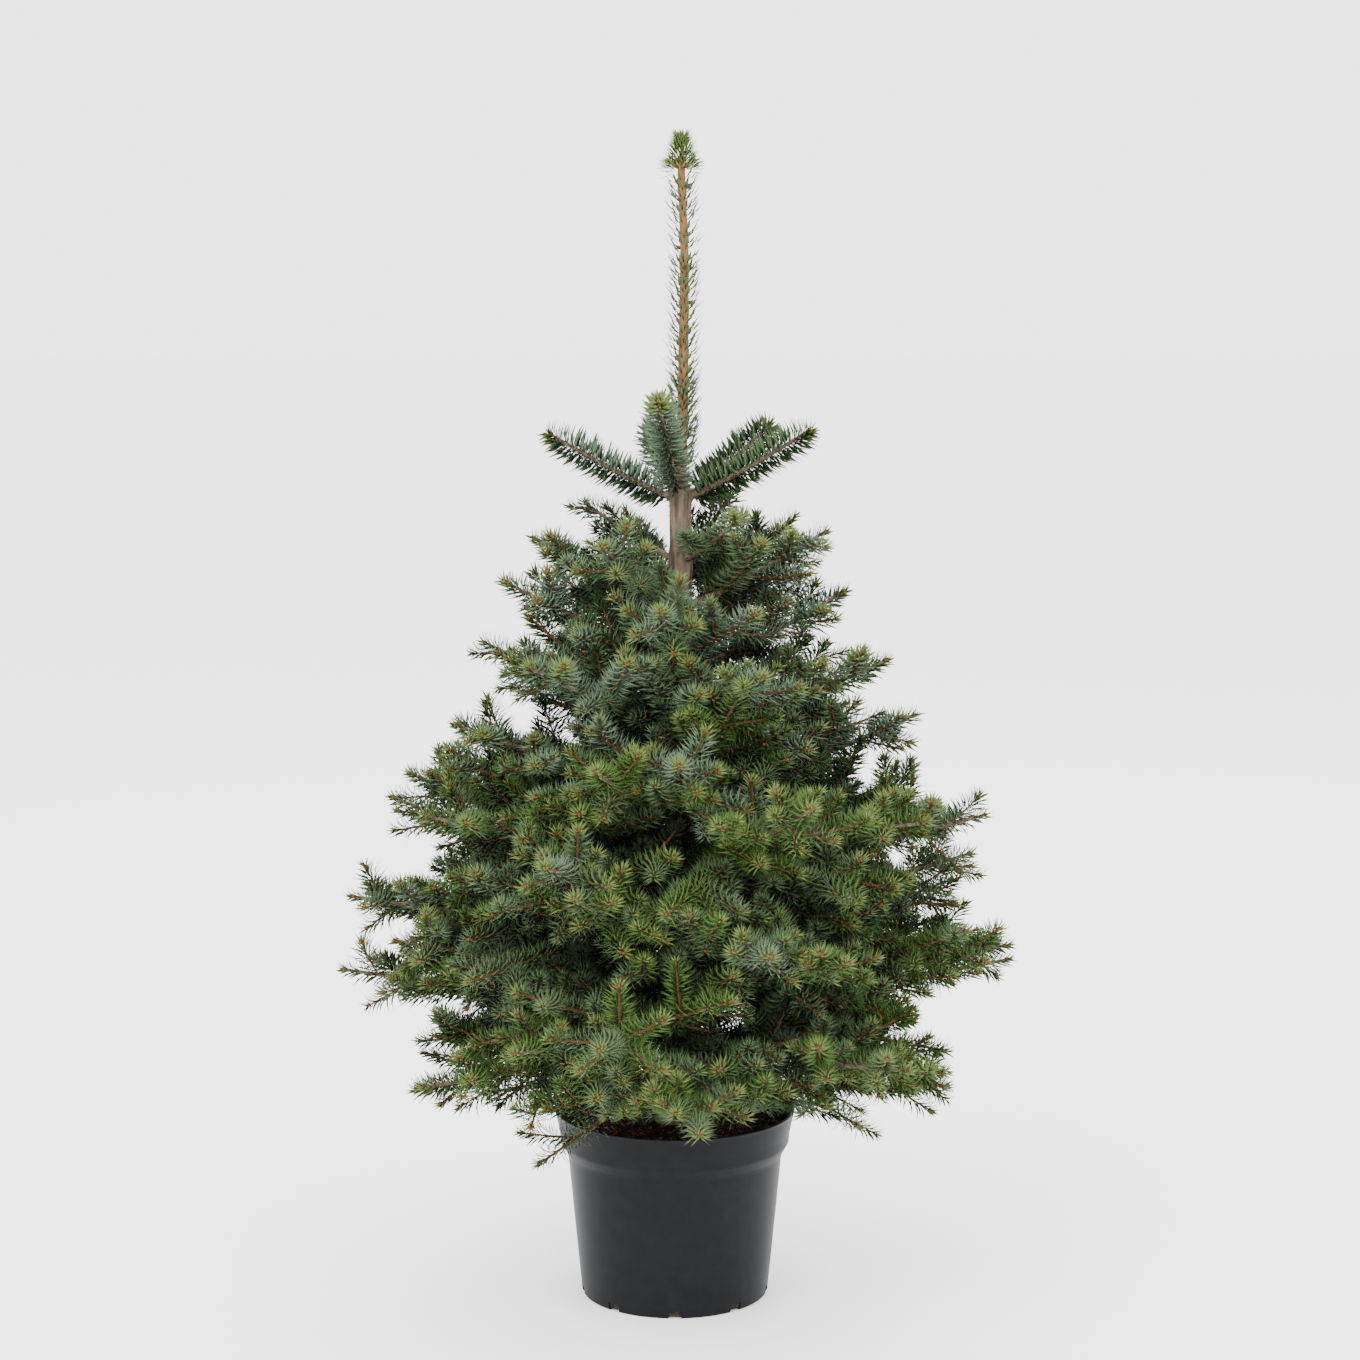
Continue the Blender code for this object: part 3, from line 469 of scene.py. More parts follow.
def stemRadius(height):
    if height > stem["ring"] + stem["collar"]:
        share = (height - stem["ring"]) / (stem["leaderTop"] - stem["ring"])
        return stem["leaderFoot"] + (stem["leaderTopRadius"] - stem["leaderFoot"]) * share
    share = (height - stem["foot"]) / (stem["ring"] - stem["foot"])
    radius = stem["footRadius"] + (stem["ringRadius"] - stem["footRadius"]) * share
    radius += stem["flare"] * math.exp(-(height - stem["foot"]) / stem["flareHeight"])
    for whorl in whorls[1:]:
        radius += stem["swell"] * math.exp(-((height - whorl[0]) / stem["collar"]) ** 2)
    return radius


def stemHeights():  # the rings of the solid stem, between which its bark runs straight
    heights = [stem["foot"]] + [stem["foot"] + rise for rise in stem["flareRings"]]
    for lower in [whorl[0] for whorl in reversed(whorls[1:])][:-1]:
        heights += [lower, lower + 2 * stem["collar"]]
    heights += [stem["ring"] - stem["collar"], stem["ring"], stem["ring"] + 2 * stem["collar"]]
    foot = stem["ring"] + stem["leaderClear"]
    last = stem["leaderTop"] - stem["leaderBareEnd"]
    steps = stem["leaderSteps"]
    leaderRings = [foot + (last - foot) * step / steps for step in range(steps + 1)]
    return heights + leaderRings + [stem["leaderTop"]]


barkProfile = [(height, stemRadius(height)) for height in stemHeights()]


def barkRadius(height):
    return between(barkProfile, height)


def swing(chance, most, *count):  # as much to either side
    return chance.uniform(-most, most, *count)


def levelWay(turn):
    return Vector((math.cos(turn), math.sin(turn), 0.0))


def bend(direction, degrees):
    level = Vector((direction.y, -direction.x, 0.0))
    if level.length < 1e-6:
        return direction.copy()
    return Matrix.Rotation(math.radians(degrees), 3, level.normalized()) @ direction


def growLine(start, direction, length, lift, steps):
    points = [start.copy()]
    heading = direction.normalized()
    for _ in range(steps):
        heading = bend(heading, lift / steps)
        points.append(points[-1] + heading * (length / steps))
    return points


def pointOn(points, share):
    place = min(max(share, 0.0), 1.0) * (len(points) - 1)
    step = min(int(place), len(points) - 2)
    heading = (points[step + 1] - points[step]).normalized()
    return points[step].lerp(points[step + 1], place - step), heading


def sideFrame(heading):
    right = heading.cross(Vector((0.0, 0.0, 1.0)))
    if right.length < 1e-6:
        right = Vector((1.0, 0.0, 0.0))
    right.normalize()
    return right, right.cross(heading).normalized()


def forked(line, share, roll, fork):  # where a side shoot starts, and which way it goes
    root, heading = pointOn(line, share)
    right, above = sideFrame(heading)
    side = right * math.sin(roll) + above * math.cos(roll)
    return root, heading * math.cos(fork) + side * math.sin(fork)


def newBough(tier, start, turn, rise, length, lift, bare):
    out = levelWay(turn)
    heading = out * math.cos(rise) + Vector((0.0, 0.0, math.sin(rise)))
    line = growLine(start, heading, length, lift, growth["boughSteps"])
    return {"tier": tier, "out": out, "bare": bare, "length": length, "line": line}


def listBoughs():
    boughs = []
    chance = random.Random(growth["seed"])
    for tier, (high, drop, azimuths, long, rise, lift, bare) in enumerate(whorls):
        for place, azimuth in enumerate(azimuths):
            height = high - drop * place
            length = long * chance.uniform(*growth["boughVary"])
            climb = math.radians(rise + swing(chance, growth["riseVary"]))
            turn = math.radians(azimuth)
            across = [height + step * growth["boughRadius"] / 2 for step in (-2, -1, 0, 1, 2)]
            radius = max(barkRadius(level) for level in across)
            start = stemMiddle(height) + levelWay(turn) * (radius + growth["gap"])
            boughs.append(newBough(tier, start, turn, climb, length, lift, bare))
    return boughs


def growTwigs(line, length, order, firstShare, chance):
    years = int(length / growth["yearShoot"])
    twigs = []
    if years < 2:
        return twigs
    for year in range(years):
        share = (year + firstShare) / years
        rest = length * (1.0 - share)
        turns = [90.0, -90.0]
        if order == 0:
            turns.append(chance.choice((0.0, 180.0)))
        for turn in turns:
            roll = math.radians(turn + swing(chance, growth["rollVary"]))
            fork = math.radians(growth["fork"] + swing(chance, growth["forkVary"]))
            twigLength = rest * growth["sideShare"] * chance.uniform(*growth["sideVary"])
            if turn in (0.0, 180.0):
                twigLength = min(twigLength, growth["yearShoot"]) * growth["topShare"]
            along = share + chance.uniform(0.0, growth["alongVary"])
            lift = chance.uniform(0.0, growth["twigLift"])
            if twigLength < growth["shortestTwig"]:
                continue
            root, direction = forked(line, along, roll, fork)
            twigLine = growLine(root, direction, twigLength, lift, growth["twigSteps"])
            twigs.append({"line": twigLine, "length": twigLength, "order": order + 1})
            if order < 1:
                twigs += growTwigs(twigLine, twigLength, order + 1, 1.0, chance)
    return twigs


# finer twigs than the solids have: short side shoots between the years' ends
finer = {
    "seed": 900, "pitch": 0.033, "from": 0.16, "to": 0.90, "long": (0.044, 0.078), "shortest": 0.022,
    "tipRoom": 0.018, "roomShare": 0.85, "rollVary": 60.0, "fork": 48.0, "forkVary": 10.0,
    "lift": (2.0, 16.0), "parent": 0.085,
}

# boughs between the whorls, all round, which make the crown's inside full
innerForm = {
    "seed": 40, "tier": 12, "low": 0.256, "high": 0.690, "step": 0.0112, "share": 0.68, "lowShare": 0.94,
    "lowUnder": 0.58, "longVary": (0.82, 1.05), "rise": (-4.0, 14.0), "droop": 8.0, "droopUnder": 0.36,
    "turnVary": 16.0, "lift": 10.0,
}

# the crown's reach from its axis at each height
crownReach = ((0.20, 0.27), (0.30, 0.34), (0.38, 0.39), (0.48, 0.37), (0.56, 0.34), (0.65, 0.26),
              (0.75, 0.23), (0.84, 0.20), (0.93, 0.14), (1.00, 0.10))


def reachAt(height):
    return between(crownReach, height)


def outwardness(shoot):  # 0 where a shoot ends at the axis, 1 at the crown's reach
    tip = shoot["line"][-1]
    return math.hypot(tip.x, tip.y) / reachAt(tip.z)


def growFiner(shoot, chance):
    twigs = []
    count = int(shoot["length"] * (1.0 - finer["from"]) / finer["pitch"])
    side = chance.choice((90.0, -90.0))
    for number in range(count):
        share = finer["from"] + (finer["to"] - finer["from"]) * (number + chance.random()) / count
        side = -side
        roll = math.radians(side + swing(chance, finer["rollVary"]))
        fork = math.radians(finer["fork"] + swing(chance, finer["forkVary"]))
        rest = shoot["length"] * (1.0 - share) + finer["tipRoom"]
        length = min(chance.uniform(*finer["long"]), rest * finer["roomShare"])
        lift = chance.uniform(*finer["lift"])
        if length < finer["shortest"]:
            continue
        root, direction = forked(shoot["line"], share, roll, fork)
        line = growLine(root, direction, length, lift, growth["twigSteps"])
        twigs.append({"line": line, "length": length, "order": shoot["order"] + 1})
    return twigs


def listInnerBoughs():
    boughs = []
    chance = random.Random(growth["seed"] + innerForm["seed"])
    height = innerForm["low"]
    while height < innerForm["high"]:
        turn = math.radians(goldenAngle * len(boughs) + swing(chance, innerForm["turnVary"]))
        droop = innerForm["droop"] if height < innerForm["droopUnder"] else 0.0
        rise = math.radians(chance.uniform(*innerForm["rise"]) - droop)
        share = innerForm["lowShare" if height < innerForm["lowUnder"] else "share"]
        length = reachAt(height) * share * chance.uniform(*innerForm["longVary"])
        start = stemMiddle(height) + levelWay(turn) * barkRadius(height)
        boughs.append(newBough(innerForm["tier"], start, turn, rise, length, innerForm["lift"], 0))
        height += innerForm["step"]
    return boughs


# room kept free by shoots and needles, and the crown's lower edge before the pot
freeRoom = {"shootAbovePot": 0.006, "shootRoundPot": 0.010, "needlePot": 0.002, "needleStem": 0.026}
lowestEdge = {"wide": 0.130, "near": -0.10, "fall": 0.288}


def meetsPot(line):  # a shoot that would run into the compost or through the pot's wall
    for point in line:
        radius = math.hypot(point.x, point.y)
        low = point.z < potForm["height"] + freeRoom["shootAbovePot"]
        if low and radius < potForm["lip"] + freeRoom["shootRoundPot"]:
            return True
    return False


def hangsBefore(line):  # a shoot whose tip would hide the pot from the front
    tip = line[-1]
    if abs(tip.x) > lowestEdge["wide"] or tip.y > lowestEdge["near"]:
        return False
    return tip.z < cameraView["high"] - (cameraView["away"] + tip.y) * lowestEdge["fall"]


def growShoots(boughs):
    shoots = []
    for number, bough in enumerate(boughs):
        bareLength = bough["length"] * (1.0 - bough["bare"])
        foot = pointOn(bough["line"], bough["bare"])[0]
        first = math.floor(bough["bare"] * growth["boughSteps"]) + 1
        line = [foot] + [point.copy() for point in bough["line"][first:]]
        firstShare = growth["bareFirstShare" if bough["bare"] > 0 else "firstShare"]
        chance = random.Random(growth["seed"] + growth["twigSeed"] + number)
        own = {"line": line, "length": bareLength, "order": 0}
        grown = [own] + growTwigs(line, bareLength, 0, firstShare, chance)
        fine = random.Random(growth["seed"] + finer["seed"] + number)
        for shoot in list(grown):
            if shoot["order"] < 2 and shoot["length"] > finer["parent"] and bough["tier"] >= topTiers:
                grown += growFiner(shoot, fine)
        for shoot in grown:
            shoot["tier"] = bough["tier"]
            shoots.append(shoot)
    kept = [shoot for shoot in shoots if not meetsPot(shoot["line"])]
    return [shoot for shoot in kept if shoot["order"] < 1 or not hangsBefore(shoot["line"])]


# trunk: fibrous bark in long ridges, collars at the whorls and a smooth leading shoot
trunkForm = {
    "sides": 28, "step": 0.0052, "ridge": 0.00055, "leaderRidge": 0.00012, "fibre": (5.5, 26.0),
    "fibreNoise": (0.7, 2.1, 4), "knob": (2.0, 90.0), "knobShare": 0.6, "flatEnd": 0.0005,
    "ridgesEnd": 0.02, "orangeFrom": 0.016, "smoothAngle": 60.0,
}
barkLook = {"dark": (0.042, 0.030, 0.021), "light": (0.160, 0.120, 0.082), "scale": 150.0,
            "stretch": (1.0, 1.0, 0.16), "roughness": 0.86, "bump": 0.65, "depth": 0.0016}
leaderLook = {"dark": (0.100, 0.042, 0.014), "light": (0.250, 0.128, 0.046), "scale": 120.0,
              "stretch": (1.0, 1.0, 0.22), "roughness": 0.66, "bump": 0.35, "depth": 0.0008}


def grainPlace(out, height, grain):  # grain: how fast the noise runs round the stem and up it
    around, along = grain
    return Vector((out.x * around, out.y * around, height * along))


def barkRelief(out, height):  # long fibres with a few knobs, and nearly smooth on the leading shoot
    fibre = noise.fractal(grainPlace(out, height, trunkForm["fibre"]), *trunkForm["fibreNoise"])
    knob = noise.noise(grainPlace(out, height, trunkForm["knob"]))
    deep = trunkForm["ridge" if height < stem["ring"] + trunkForm["ridgesEnd"] else "leaderRidge"]
    return deep * (fibre + trunkForm["knobShare"] * knob)


def makeTrunk():
    foot = stem["foot"]
    top = stem["leaderTop"]
    rings = int((top - foot) / trunkForm["step"])
    heights = [foot + (top - foot) * ring / rings for ring in range(rings + 1)]
    trunk = firstRing(trunkForm["sides"], barkRadius(heights[0]), stemMiddle(heights[0]))
    for low, high in zip(heights, heights[1:]):
        nextRing(stemMiddle(high) - stemMiddle(low), barkRadius(high) / barkRadius(low), stemMiddle(high))
    faceOutwards()
    for vertex in trunk.data.vertices:
        place = vertex.co
        if place.z < foot + trunkForm["flatEnd"] or place.z > top - trunkForm["flatEnd"]:
            continue
        axis = stemMiddle(place.z)
        out = Vector((place.x - axis.x, place.y - axis.y, 0.0)).normalized()
        vertex.co = place + out * barkRelief(out, place.z)
    finish = speckledMaterial("fibrousBark", barkLook)
    settle(trunk, "trunk_bark", finish, ["trunk"], trunkForm["smoothAngle"])
    trunk.data.materials.append(speckledMaterial("orangeBark", leaderLook))
    for polygon in trunk.data.polygons:
        polygon.material_index = int(polygon.center.z > stem["ring"] + trunkForm["orangeFrom"])


# boughs and twigs: curves with a round section and a taper, made into meshes
limbForm = {
    "boughRoundness": 3, "twigRoundness": 0, "weld": 0.00002, "relief": 0.00035, "reliefScale": 260.0,
    "reliefNoise": (0.7, 2.0, 3), "smoothAngle": 60.0, "rooted": 0.004, "rootSwell": 1.12,
    "fullLength": 0.37, "twigThick": 0.0011, "twigThicker": 0.010, "twigTaper": (1.0, 0.78, 0.5),
    "youngFrom": 0.62,
}
boughLook = {"dark": (0.050, 0.034, 0.024), "light": (0.170, 0.115, 0.078), "scale": 190.0,
             "roughness": 0.86, "bump": 0.6, "depth": 0.0012}
twigTones = {"young": (0.088, 0.040, 0.016), "old": (0.045, 0.030, 0.019)}
twigRoughness = 0.75


def limbPiece(name, lines, roundness, material, replaced, relief=0.0):
    curve = bpy.data.curves.new(name, "CURVE")
    curve.dimensions = "3D"
    curve.bevel_depth = 1.0
    curve.bevel_resolution = roundness
    curve.use_fill_caps = True
    for points, radii in lines:
        spline = curve.splines.new("POLY")
        spline.points.add(len(points) - 1)
        for corner, point, radius in zip(spline.points, points, radii):
            corner.co = (*point, 1.0)
            corner.radius = radius
    limbs = bpy.data.objects.new(name, curve)
    bpy.context.scene.collection.objects.link(limbs)
    pick(limbs)
    bpy.ops.object.convert(target="MESH")
    limbs = bpy.context.object
    bpy.ops.object.mode_set(mode="EDIT")
    bpy.ops.mesh.select_all(action="SELECT")
    bpy.ops.mesh.remove_doubles(threshold=limbForm["weld"])
    faceOutwards()
    if relief:
        for vertex in limbs.data.vertices:
            rough = noise.fractal(vertex.co * limbForm["reliefScale"], *limbForm["reliefNoise"])
            vertex.co = vertex.co + vertex.normal * relief * rough
    settle(limbs, name, material, replaced, limbForm["smoothAngle"])


def boughRadius(bough, share):
    root = growth["boughRadius"] * math.sqrt(bough["length"] / limbForm["fullLength"])
    return root * (1.0 - share) + growth["twigRadius"] * share


def makeBoughs(boughs):
    lines = []
    for bough in boughs:
        steps = len(bough["line"]) - 1
        inside = bough["line"][0] - bough["out"] * limbForm["rooted"]
        radii = [boughRadius(bough, step / steps) for step in range(steps + 1)]
        lines.append(([inside] + bough["line"], [radii[0] * limbForm["rootSwell"]] + radii))
    finish = speckledMaterial("boughBark", boughLook)
    limbPiece("boughs", lines, limbForm["boughRoundness"], finish, boughNodes, limbForm["relief"])


def makeTwigs(shoots):
    kinds = {kind: [] for kind in twigTones}
    for shoot in shoots:
        if shoot["order"] == 0:
            continue
        line = shoot["line"]
        thick = limbForm["twigThick"] + limbForm["twigThicker"] * shoot["length"]
        young = outwardness(shoot) > limbForm["youngFrom"] or shoot["order"] > 1
        points = [line[0], line[len(line) // 2], line[-1]]
        radii = [thick * share for share in limbForm["twigTaper"]]
        kinds["young" if young else "old"].append((points, radii))
    for kind, lines in kinds.items():
        finish = plainMaterial(kind + "TwigBark", twigTones[kind], twigRoughness)
        replaced = sprayNodes if kind == "young" else []
        limbPiece(kind + "_twigs", lines, limbForm["twigRoundness"], finish, replaced)


# needles: flat, keeled underneath, swept forwards and up, pale below
needleForm = {
    "long": 0.0250, "longVary": (0.82, 1.12), "fineShare": 0.92, "tipLong": (0.62, 0.38), "tipReach": 0.018,
    "wide": 0.00105, "wideVary": (0.85, 1.15), "thick": 0.00050, "widest": 0.52, "curve": 0.10,
    "open": (30.0, 32.0), "openReach": 0.030, "openVary": 9.0, "facing": 0.6, "fewest": 8, "bareFoot": 0.03,
    "boughBareFoot": 0.10, "boughBareTier": 6, "pieceLimit": 32000,
}
topBrush = {"perMetre": 3400.0, "longer": 1.16, "wider": 1.55, "opener": 12.0, "around": 1.0, "rise": 0.02}
crownBrush = {"perMetre": 1500.0, "longer": 1.0, "wider": 1.0, "opener": 0.0, "around": 0.84, "rise": 0.10}

# colours of a needle's top and underside; the deep pair is painted shade, a near-black green for needles in
# the crown's shaded inside
needleTones = {
    "blue": ((0.034, 0.062, 0.028), (0.080, 0.118, 0.072)),
    "mid": ((0.023, 0.049, 0.010), (0.050, 0.082, 0.034)),
    # painted shade: near-black needles that stand in for the shade deep inside the crown
    "deep": ((0.005, 0.011, 0.003), (0.012, 0.022, 0.008)),
    "bright": ((0.025, 0.059, 0.006), (0.044, 0.083, 0.015)),
    "fresh": ((0.060, 0.092, 0.013), (0.085, 0.118, 0.028)),
}
needleRoughness = (0.48, 0.60)
softRoughness = (0.5, 0.6)  # of the leading shoot's and the top tuft's younger needles

# the tones of a zone's shoots, dealt out by luck: each share ends at its number; the deep tone, dealt to
# most inside shoots and a third of the middle ones, is painted shade
toneShares = {
    # painted shade: shoots ending near the axis mostly take the deep tone, and a third of the middle ones do
    # too
    "inside": ((0.80, "deep"), (1.0, "mid")),
    "middle": ((0.35, "deep"), (1.0, "mid")),
    "low": ((0.62, "bright"), (1.0, "mid")),
    "waist": ((0.52, "mid"), (0.82, "blue"), (1.0, "bright")),
    "upper": ((0.66, "blue"), (1.0, "mid")),
}
# inside and middle: how far out a shoot ends, below which it takes the painted shade of the deep tone more
# often
toneZones = {"inside": 0.50, "middle": 0.70, "lowTier": 9, "lowUnder": 0.36, "waistTier": 7,
             "freshFrom": 0.72, "freshTip": 0.014, "fineFreshTip": 0.003}

# a needle's corners are its root, left, right, keel and tip, and its first two faces are its top
needleFaces = np.array([(1, 2, 4), (2, 1, 0), (2, 3, 4), (3, 1, 4), (3, 2, 0), (1, 3, 0)])
needleSlots = np.array([0, 0, 1, 1, 1, 1])


def needleFinishes(name, colours, roughness):
    return [plainMaterial(f"{name}Needle{part}", colour, rough)
            for part, colour, rough in zip(("Top", "Below"), colours, roughness)]


def needlePoints(roots, headings, aboves, lengths, curve, width):
    side = unit(np.cross(headings, aboves))
    up = np.cross(side, headings)
    along = headings * (lengths * needleForm["widest"])[:, None]
    middle = roots + along - up * (lengths * curve * 0.5)[:, None]
    tips = roots + headings * lengths[:, None] + up * (lengths * curve)[:, None]
    left = middle - side * width[:, None]
    right = middle + side * width[:, None]
    keel = middle - up * needleForm["thick"]
    return np.stack([roots, left, right, keel, tips], 1)


def needlePiece(name, needles, finishes, replaced):
    count = len(needles)
    base = (np.arange(count) * needles.shape[1])[:, None, None]
    triangles = (needleFaces[None] + base).reshape(-1, 3)
    meshPiece(name, needles.reshape(-1, 3), triangles, np.tile(needleSlots, count), finishes, replaced)


def linePlaces(line, shares):  # points and headings at many shares of a line at once
    points = np.array([tuple(point) for point in line])
    place = np.clip(shares, 0.0, 1.0) * (len(points) - 1)
    step = np.minimum(place.astype(int), len(points) - 2)
    part = (place - step)[:, None]
    heading = unit(points[step + 1] - points[step])
    return points[step] * (1.0 - part) + points[step + 1] * part, heading


def shootNeedles(shoot, chance):
    brush = topBrush if shoot["tier"] < topTiers else crownBrush
    lowBough = shoot["order"] == 0 and shoot["tier"] >= needleForm["boughBareTier"]
    start = needleForm["boughBareFoot" if lowBough else "bareFoot"]
    count = max(needleForm["fewest"], int(shoot["length"] * (1.0 - start) * brush["perMetre"]))
    shares = start + (1.0 - start) * (np.arange(count) + chance.uniform(0.0, 1.0, count)) / count
    roots, along = linePlaces(shoot["line"], shares)
    right = unit(np.cross(along, np.tile(upwards, (count, 1))))
    above = np.cross(right, along)
    turn = np.arange(count) * math.radians(goldenAngle) + chance.uniform(0.0, math.tau)
    turn = ((turn + math.pi) % math.tau - math.pi) * brush["around"]
    spoke = right * np.sin(turn)[:, None] + above * np.cos(turn)[:, None]
    fromTip = (1.0 - shares) * shoot["length"]
    least, more = needleForm["open"]
    spread = least + more * np.clip(fromTip / needleForm["openReach"], 0.0, 1.0)
    spread = spread + swing(chance, needleForm["openVary"], count)
    spread = np.radians(spread + brush["opener"])
    heading = along * np.cos(spread)[:, None] + spoke * np.sin(spread)[:, None]
    heading[:, 2] += brush["rise"]
    heading = unit(heading)
    lengths = needleForm["long"] * chance.uniform(*needleForm["longVary"], count) * brush["longer"]
    shortest, further = needleForm["tipLong"]
    lengths *= shortest + further * np.clip(fromTip / needleForm["tipReach"], 0.0, 1.0)
    if shoot["order"] > 1:
        lengths *= needleForm["fineShare"]
    width = needleForm["wide"] * chance.uniform(*needleForm["wideVary"], count) * brush["wider"]
    facing = spoke + upwards * needleForm["facing"]
    return needlePoints(roots, heading, facing, lengths, needleForm["curve"], width), fromTip


def chooseTone(shoot, chance):
    depth = outwardness(shoot)
    luck = chance.random()
    # the inside and middle zones, where a shoot ends near the axis, are where the deep tone's painted shade
    # goes
    if depth < toneZones["inside"]:
        zone = "inside"
    elif depth < toneZones["middle"]:
        zone = "middle"
    elif shoot["tier"] >= toneZones["lowTier"] or shoot["line"][-1].z < toneZones["lowUnder"]:
        zone = "low"
    elif shoot["tier"] >= toneZones["waistTier"]:
        zone = "waist"
    else:
        zone = "upper"
    return next(tone for share, tone in toneShares[zone] if luck < share)


def makeNeedles(shoots):
    chance = np.random.default_rng(growth["seed"])
    tones = {tone: [] for tone in needleTones}
    for shoot in shoots:
        needles, fromTip = shootNeedles(shoot, chance)
        tips = needles[:, -1]
        radius = np.hypot(tips[:, 0], tips[:, 1])
        low = tips[:, 2] < potForm["height"] + freeRoom["needlePot"]
        inPot = low & (radius < potForm["lip"] + freeRoom["needlePot"])
        keep = ~(inPot | (radius < freeRoom["needleStem"]))
        freshTip = toneZones["freshTip" if shoot["order"] < 2 else "fineFreshTip"]
        fresh = (fromTip < freshTip) & (outwardness(shoot) > toneZones["freshFrom"])
        tones[chooseTone(shoot, chance)].append(needles[keep & ~fresh])
        tones["fresh"].append(needles[keep & fresh])
    for tone, stacks in tones.items():
        needles = np.concatenate(stacks)
        print(tone, "needles", len(needles))
        finishes = needleFinishes(tone, needleTones[tone], needleRoughness)
        pieceCount = math.ceil(len(needles) / needleForm["pieceLimit"])
        for number, some in enumerate(np.array_split(needles, pieceCount)):
            needlePiece(f"needles_{tone}_{number + 1}", some, finishes, sprayNodes)


# buds at the outer shoots' ends: one ahead, and on stronger shoots one at each side
budForm = {
    "seed": 77, "outer": 0.66, "shortestShoot": 0.045, "long": 0.0075, "fineLong": 0.0052, "sideShare": 0.8,
    "vary": (0.85, 1.15), "sunk": 0.0015, "ways": ((0.0, 1.0), (0.75, 0.7), (-0.75, 0.7)), "tilt": 0.05,
    "girth": 0.36, "corners": 6, "roughness": 0.42,
}
budTones = {"brown": (0.110, 0.048, 0.018), "green": (0.065, 0.055, 0.020)}


def makeBuds(shoots):
    chance = np.random.default_rng(budForm["seed"])
    roots = []
    headings = []
    lengths = []
    for shoot in shoots:
        if outwardness(shoot) <= budForm["outer"] or shoot["length"] < budForm["shortestShoot"]:
            continue
        tip = shoot["line"][-1]
        heading = (tip - shoot["line"][-2]).normalized()
        right, above = sideFrame(heading)
        size = budForm["long" if shoot["order"] < 2 else "fineLong"]
        for sideways, forward in budForm["ways"]:
            if sideways and shoot["order"] > 1:
                continue
            roots.append(tuple(tip - heading * budForm["sunk"]))
            headings.append(tuple(heading * forward + right * sideways + above * budForm["tilt"]))
            share = budForm["sideShare"] if sideways else 1.0
            lengths.append(size * share * chance.uniform(*budForm["vary"]))
    finish = plainMaterial("resinBud", budTones["brown"], budForm["roughness"])
    lumpPiece("shoot_buds", np.array(roots), unit(np.array(headings)), np.array(lengths),
              budForm["girth"], budForm["corners"], finish)


# leading shoot: needles spread wide, closer together at its foot, and small buds on all sides
leader = {
    "seed": 5, "from": 0.962, "dense": 1.060, "to": 1.286, "denseCount": 270, "sparseCount": 270,
    "long": 0.0265, "longVary": (0.72, 1.06), "wideVary": (1.5, 1.9), "steep": (0.45, 1.05), "sunk": 0.0006,
    "colours": ((0.026, 0.044, 0.014), (0.050, 0.074, 0.030)),
    "buds": 14, "budEnd": 0.01, "budShift": 0.006, "budTurn": 0.4, "budSteep": 0.9, "budRooted": 0.8,
    "budLong": 0.0095, "budVary": (0.8, 1.15), "budGirth": 0.30, "budCorners": 7, "budRoughness": 0.5,
}


def stemPlaces(heights):
    middles = np.array([tuple(stemMiddle(height)) for height in heights])
    return middles, np.array([barkRadius(height) for height in heights])


def makeLeaderNeedles(chance):
    low = chance.uniform(leader["from"], leader["dense"], leader["denseCount"])
    high = chance.uniform(leader["dense"], leader["to"], leader["sparseCount"])
    heights = np.sort(np.concatenate([low, high]))
    count = len(heights)
    turn = np.arange(count) * math.radians(goldenAngle)
    out = np.stack([np.cos(turn), np.sin(turn), np.zeros(count)], 1)
    middles, radii = stemPlaces(heights)
    roots = middles + out * (radii - leader["sunk"])[:, None]
    headings = unit(out + upwards * chance.uniform(*leader["steep"], count)[:, None])
    lengths = leader["long"] * chance.uniform(*leader["longVary"], count)
    width = needleForm["wide"] * chance.uniform(*leader["wideVary"], count)
    above = np.tile(upwards, (count, 1))
    needles = needlePoints(roots, headings, above, lengths, needleForm["curve"], width)
    finishes = needleFinishes("leader", leader["colours"], softRoughness)
    needlePiece("leader_shoot_needles", needles, finishes, ["leader_needles"])


def makeLeaderBuds(chance):
    count = leader["buds"]
    heights = np.linspace(leader["dense"] + leader["budEnd"], leader["to"] - leader["budEnd"], count)
    heights = heights + swing(chance, leader["budShift"], count)
    turn = np.arange(count) * math.radians(goldenAngle) + leader["budTurn"]
    out = np.stack([np.cos(turn), np.sin(turn), np.full(count, leader["budSteep"])], 1)
    roots, radii = stemPlaces(heights)
    roots[:, :2] += out[:, :2] * radii[:, None] * leader["budRooted"]
    lengths = leader["budLong"] * chance.uniform(*leader["budVary"], count)
    finish = plainMaterial("leaderBud", budTones["green"], leader["budRoughness"])
    lumpPiece("leader_buds", roots, unit(out), lengths, leader["budGirth"], leader["budCorners"],
              finish)


# top: a crowd of brown buds in a tuft of green needles, with a small tuft at each side
topTuft = {
    "seed": 11, "needles": 260, "tall": 0.034, "girth": 0.0098, "sunk": 0.004, "long": 0.0225,
    "longVary": (0.75, 1.05), "upperShorter": 0.25, "taper": 0.6, "steep": (0.20, 1.9), "steepVary": 0.15,
    "wide": 0.95, "curve": 0.06, "facing": 0.5, "levelled": 0.2, "shortest": 0.006,
    "colours": ((0.060, 0.105, 0.018), (0.115, 0.155, 0.040)),
    "sideTurns": (8.0, 180.0), "sideOut": 0.0068, "sideSteep": 1.5, "sideTall": 0.009, "sideNeedles": 36,
    "sideGirth": 0.0020,
    "buds": 7, "budLong": 0.0190, "budSunk": 0.001, "ringTurn": 25.0, "ringStep": 60.0, "ringOut": 0.0038,
    "ringSunk": 0.002, "ringSteep": 1.1, "ringLong": 0.0125, "budGirth": 0.32, "budCorners": 8,
    "budRoughness": 0.42,
}


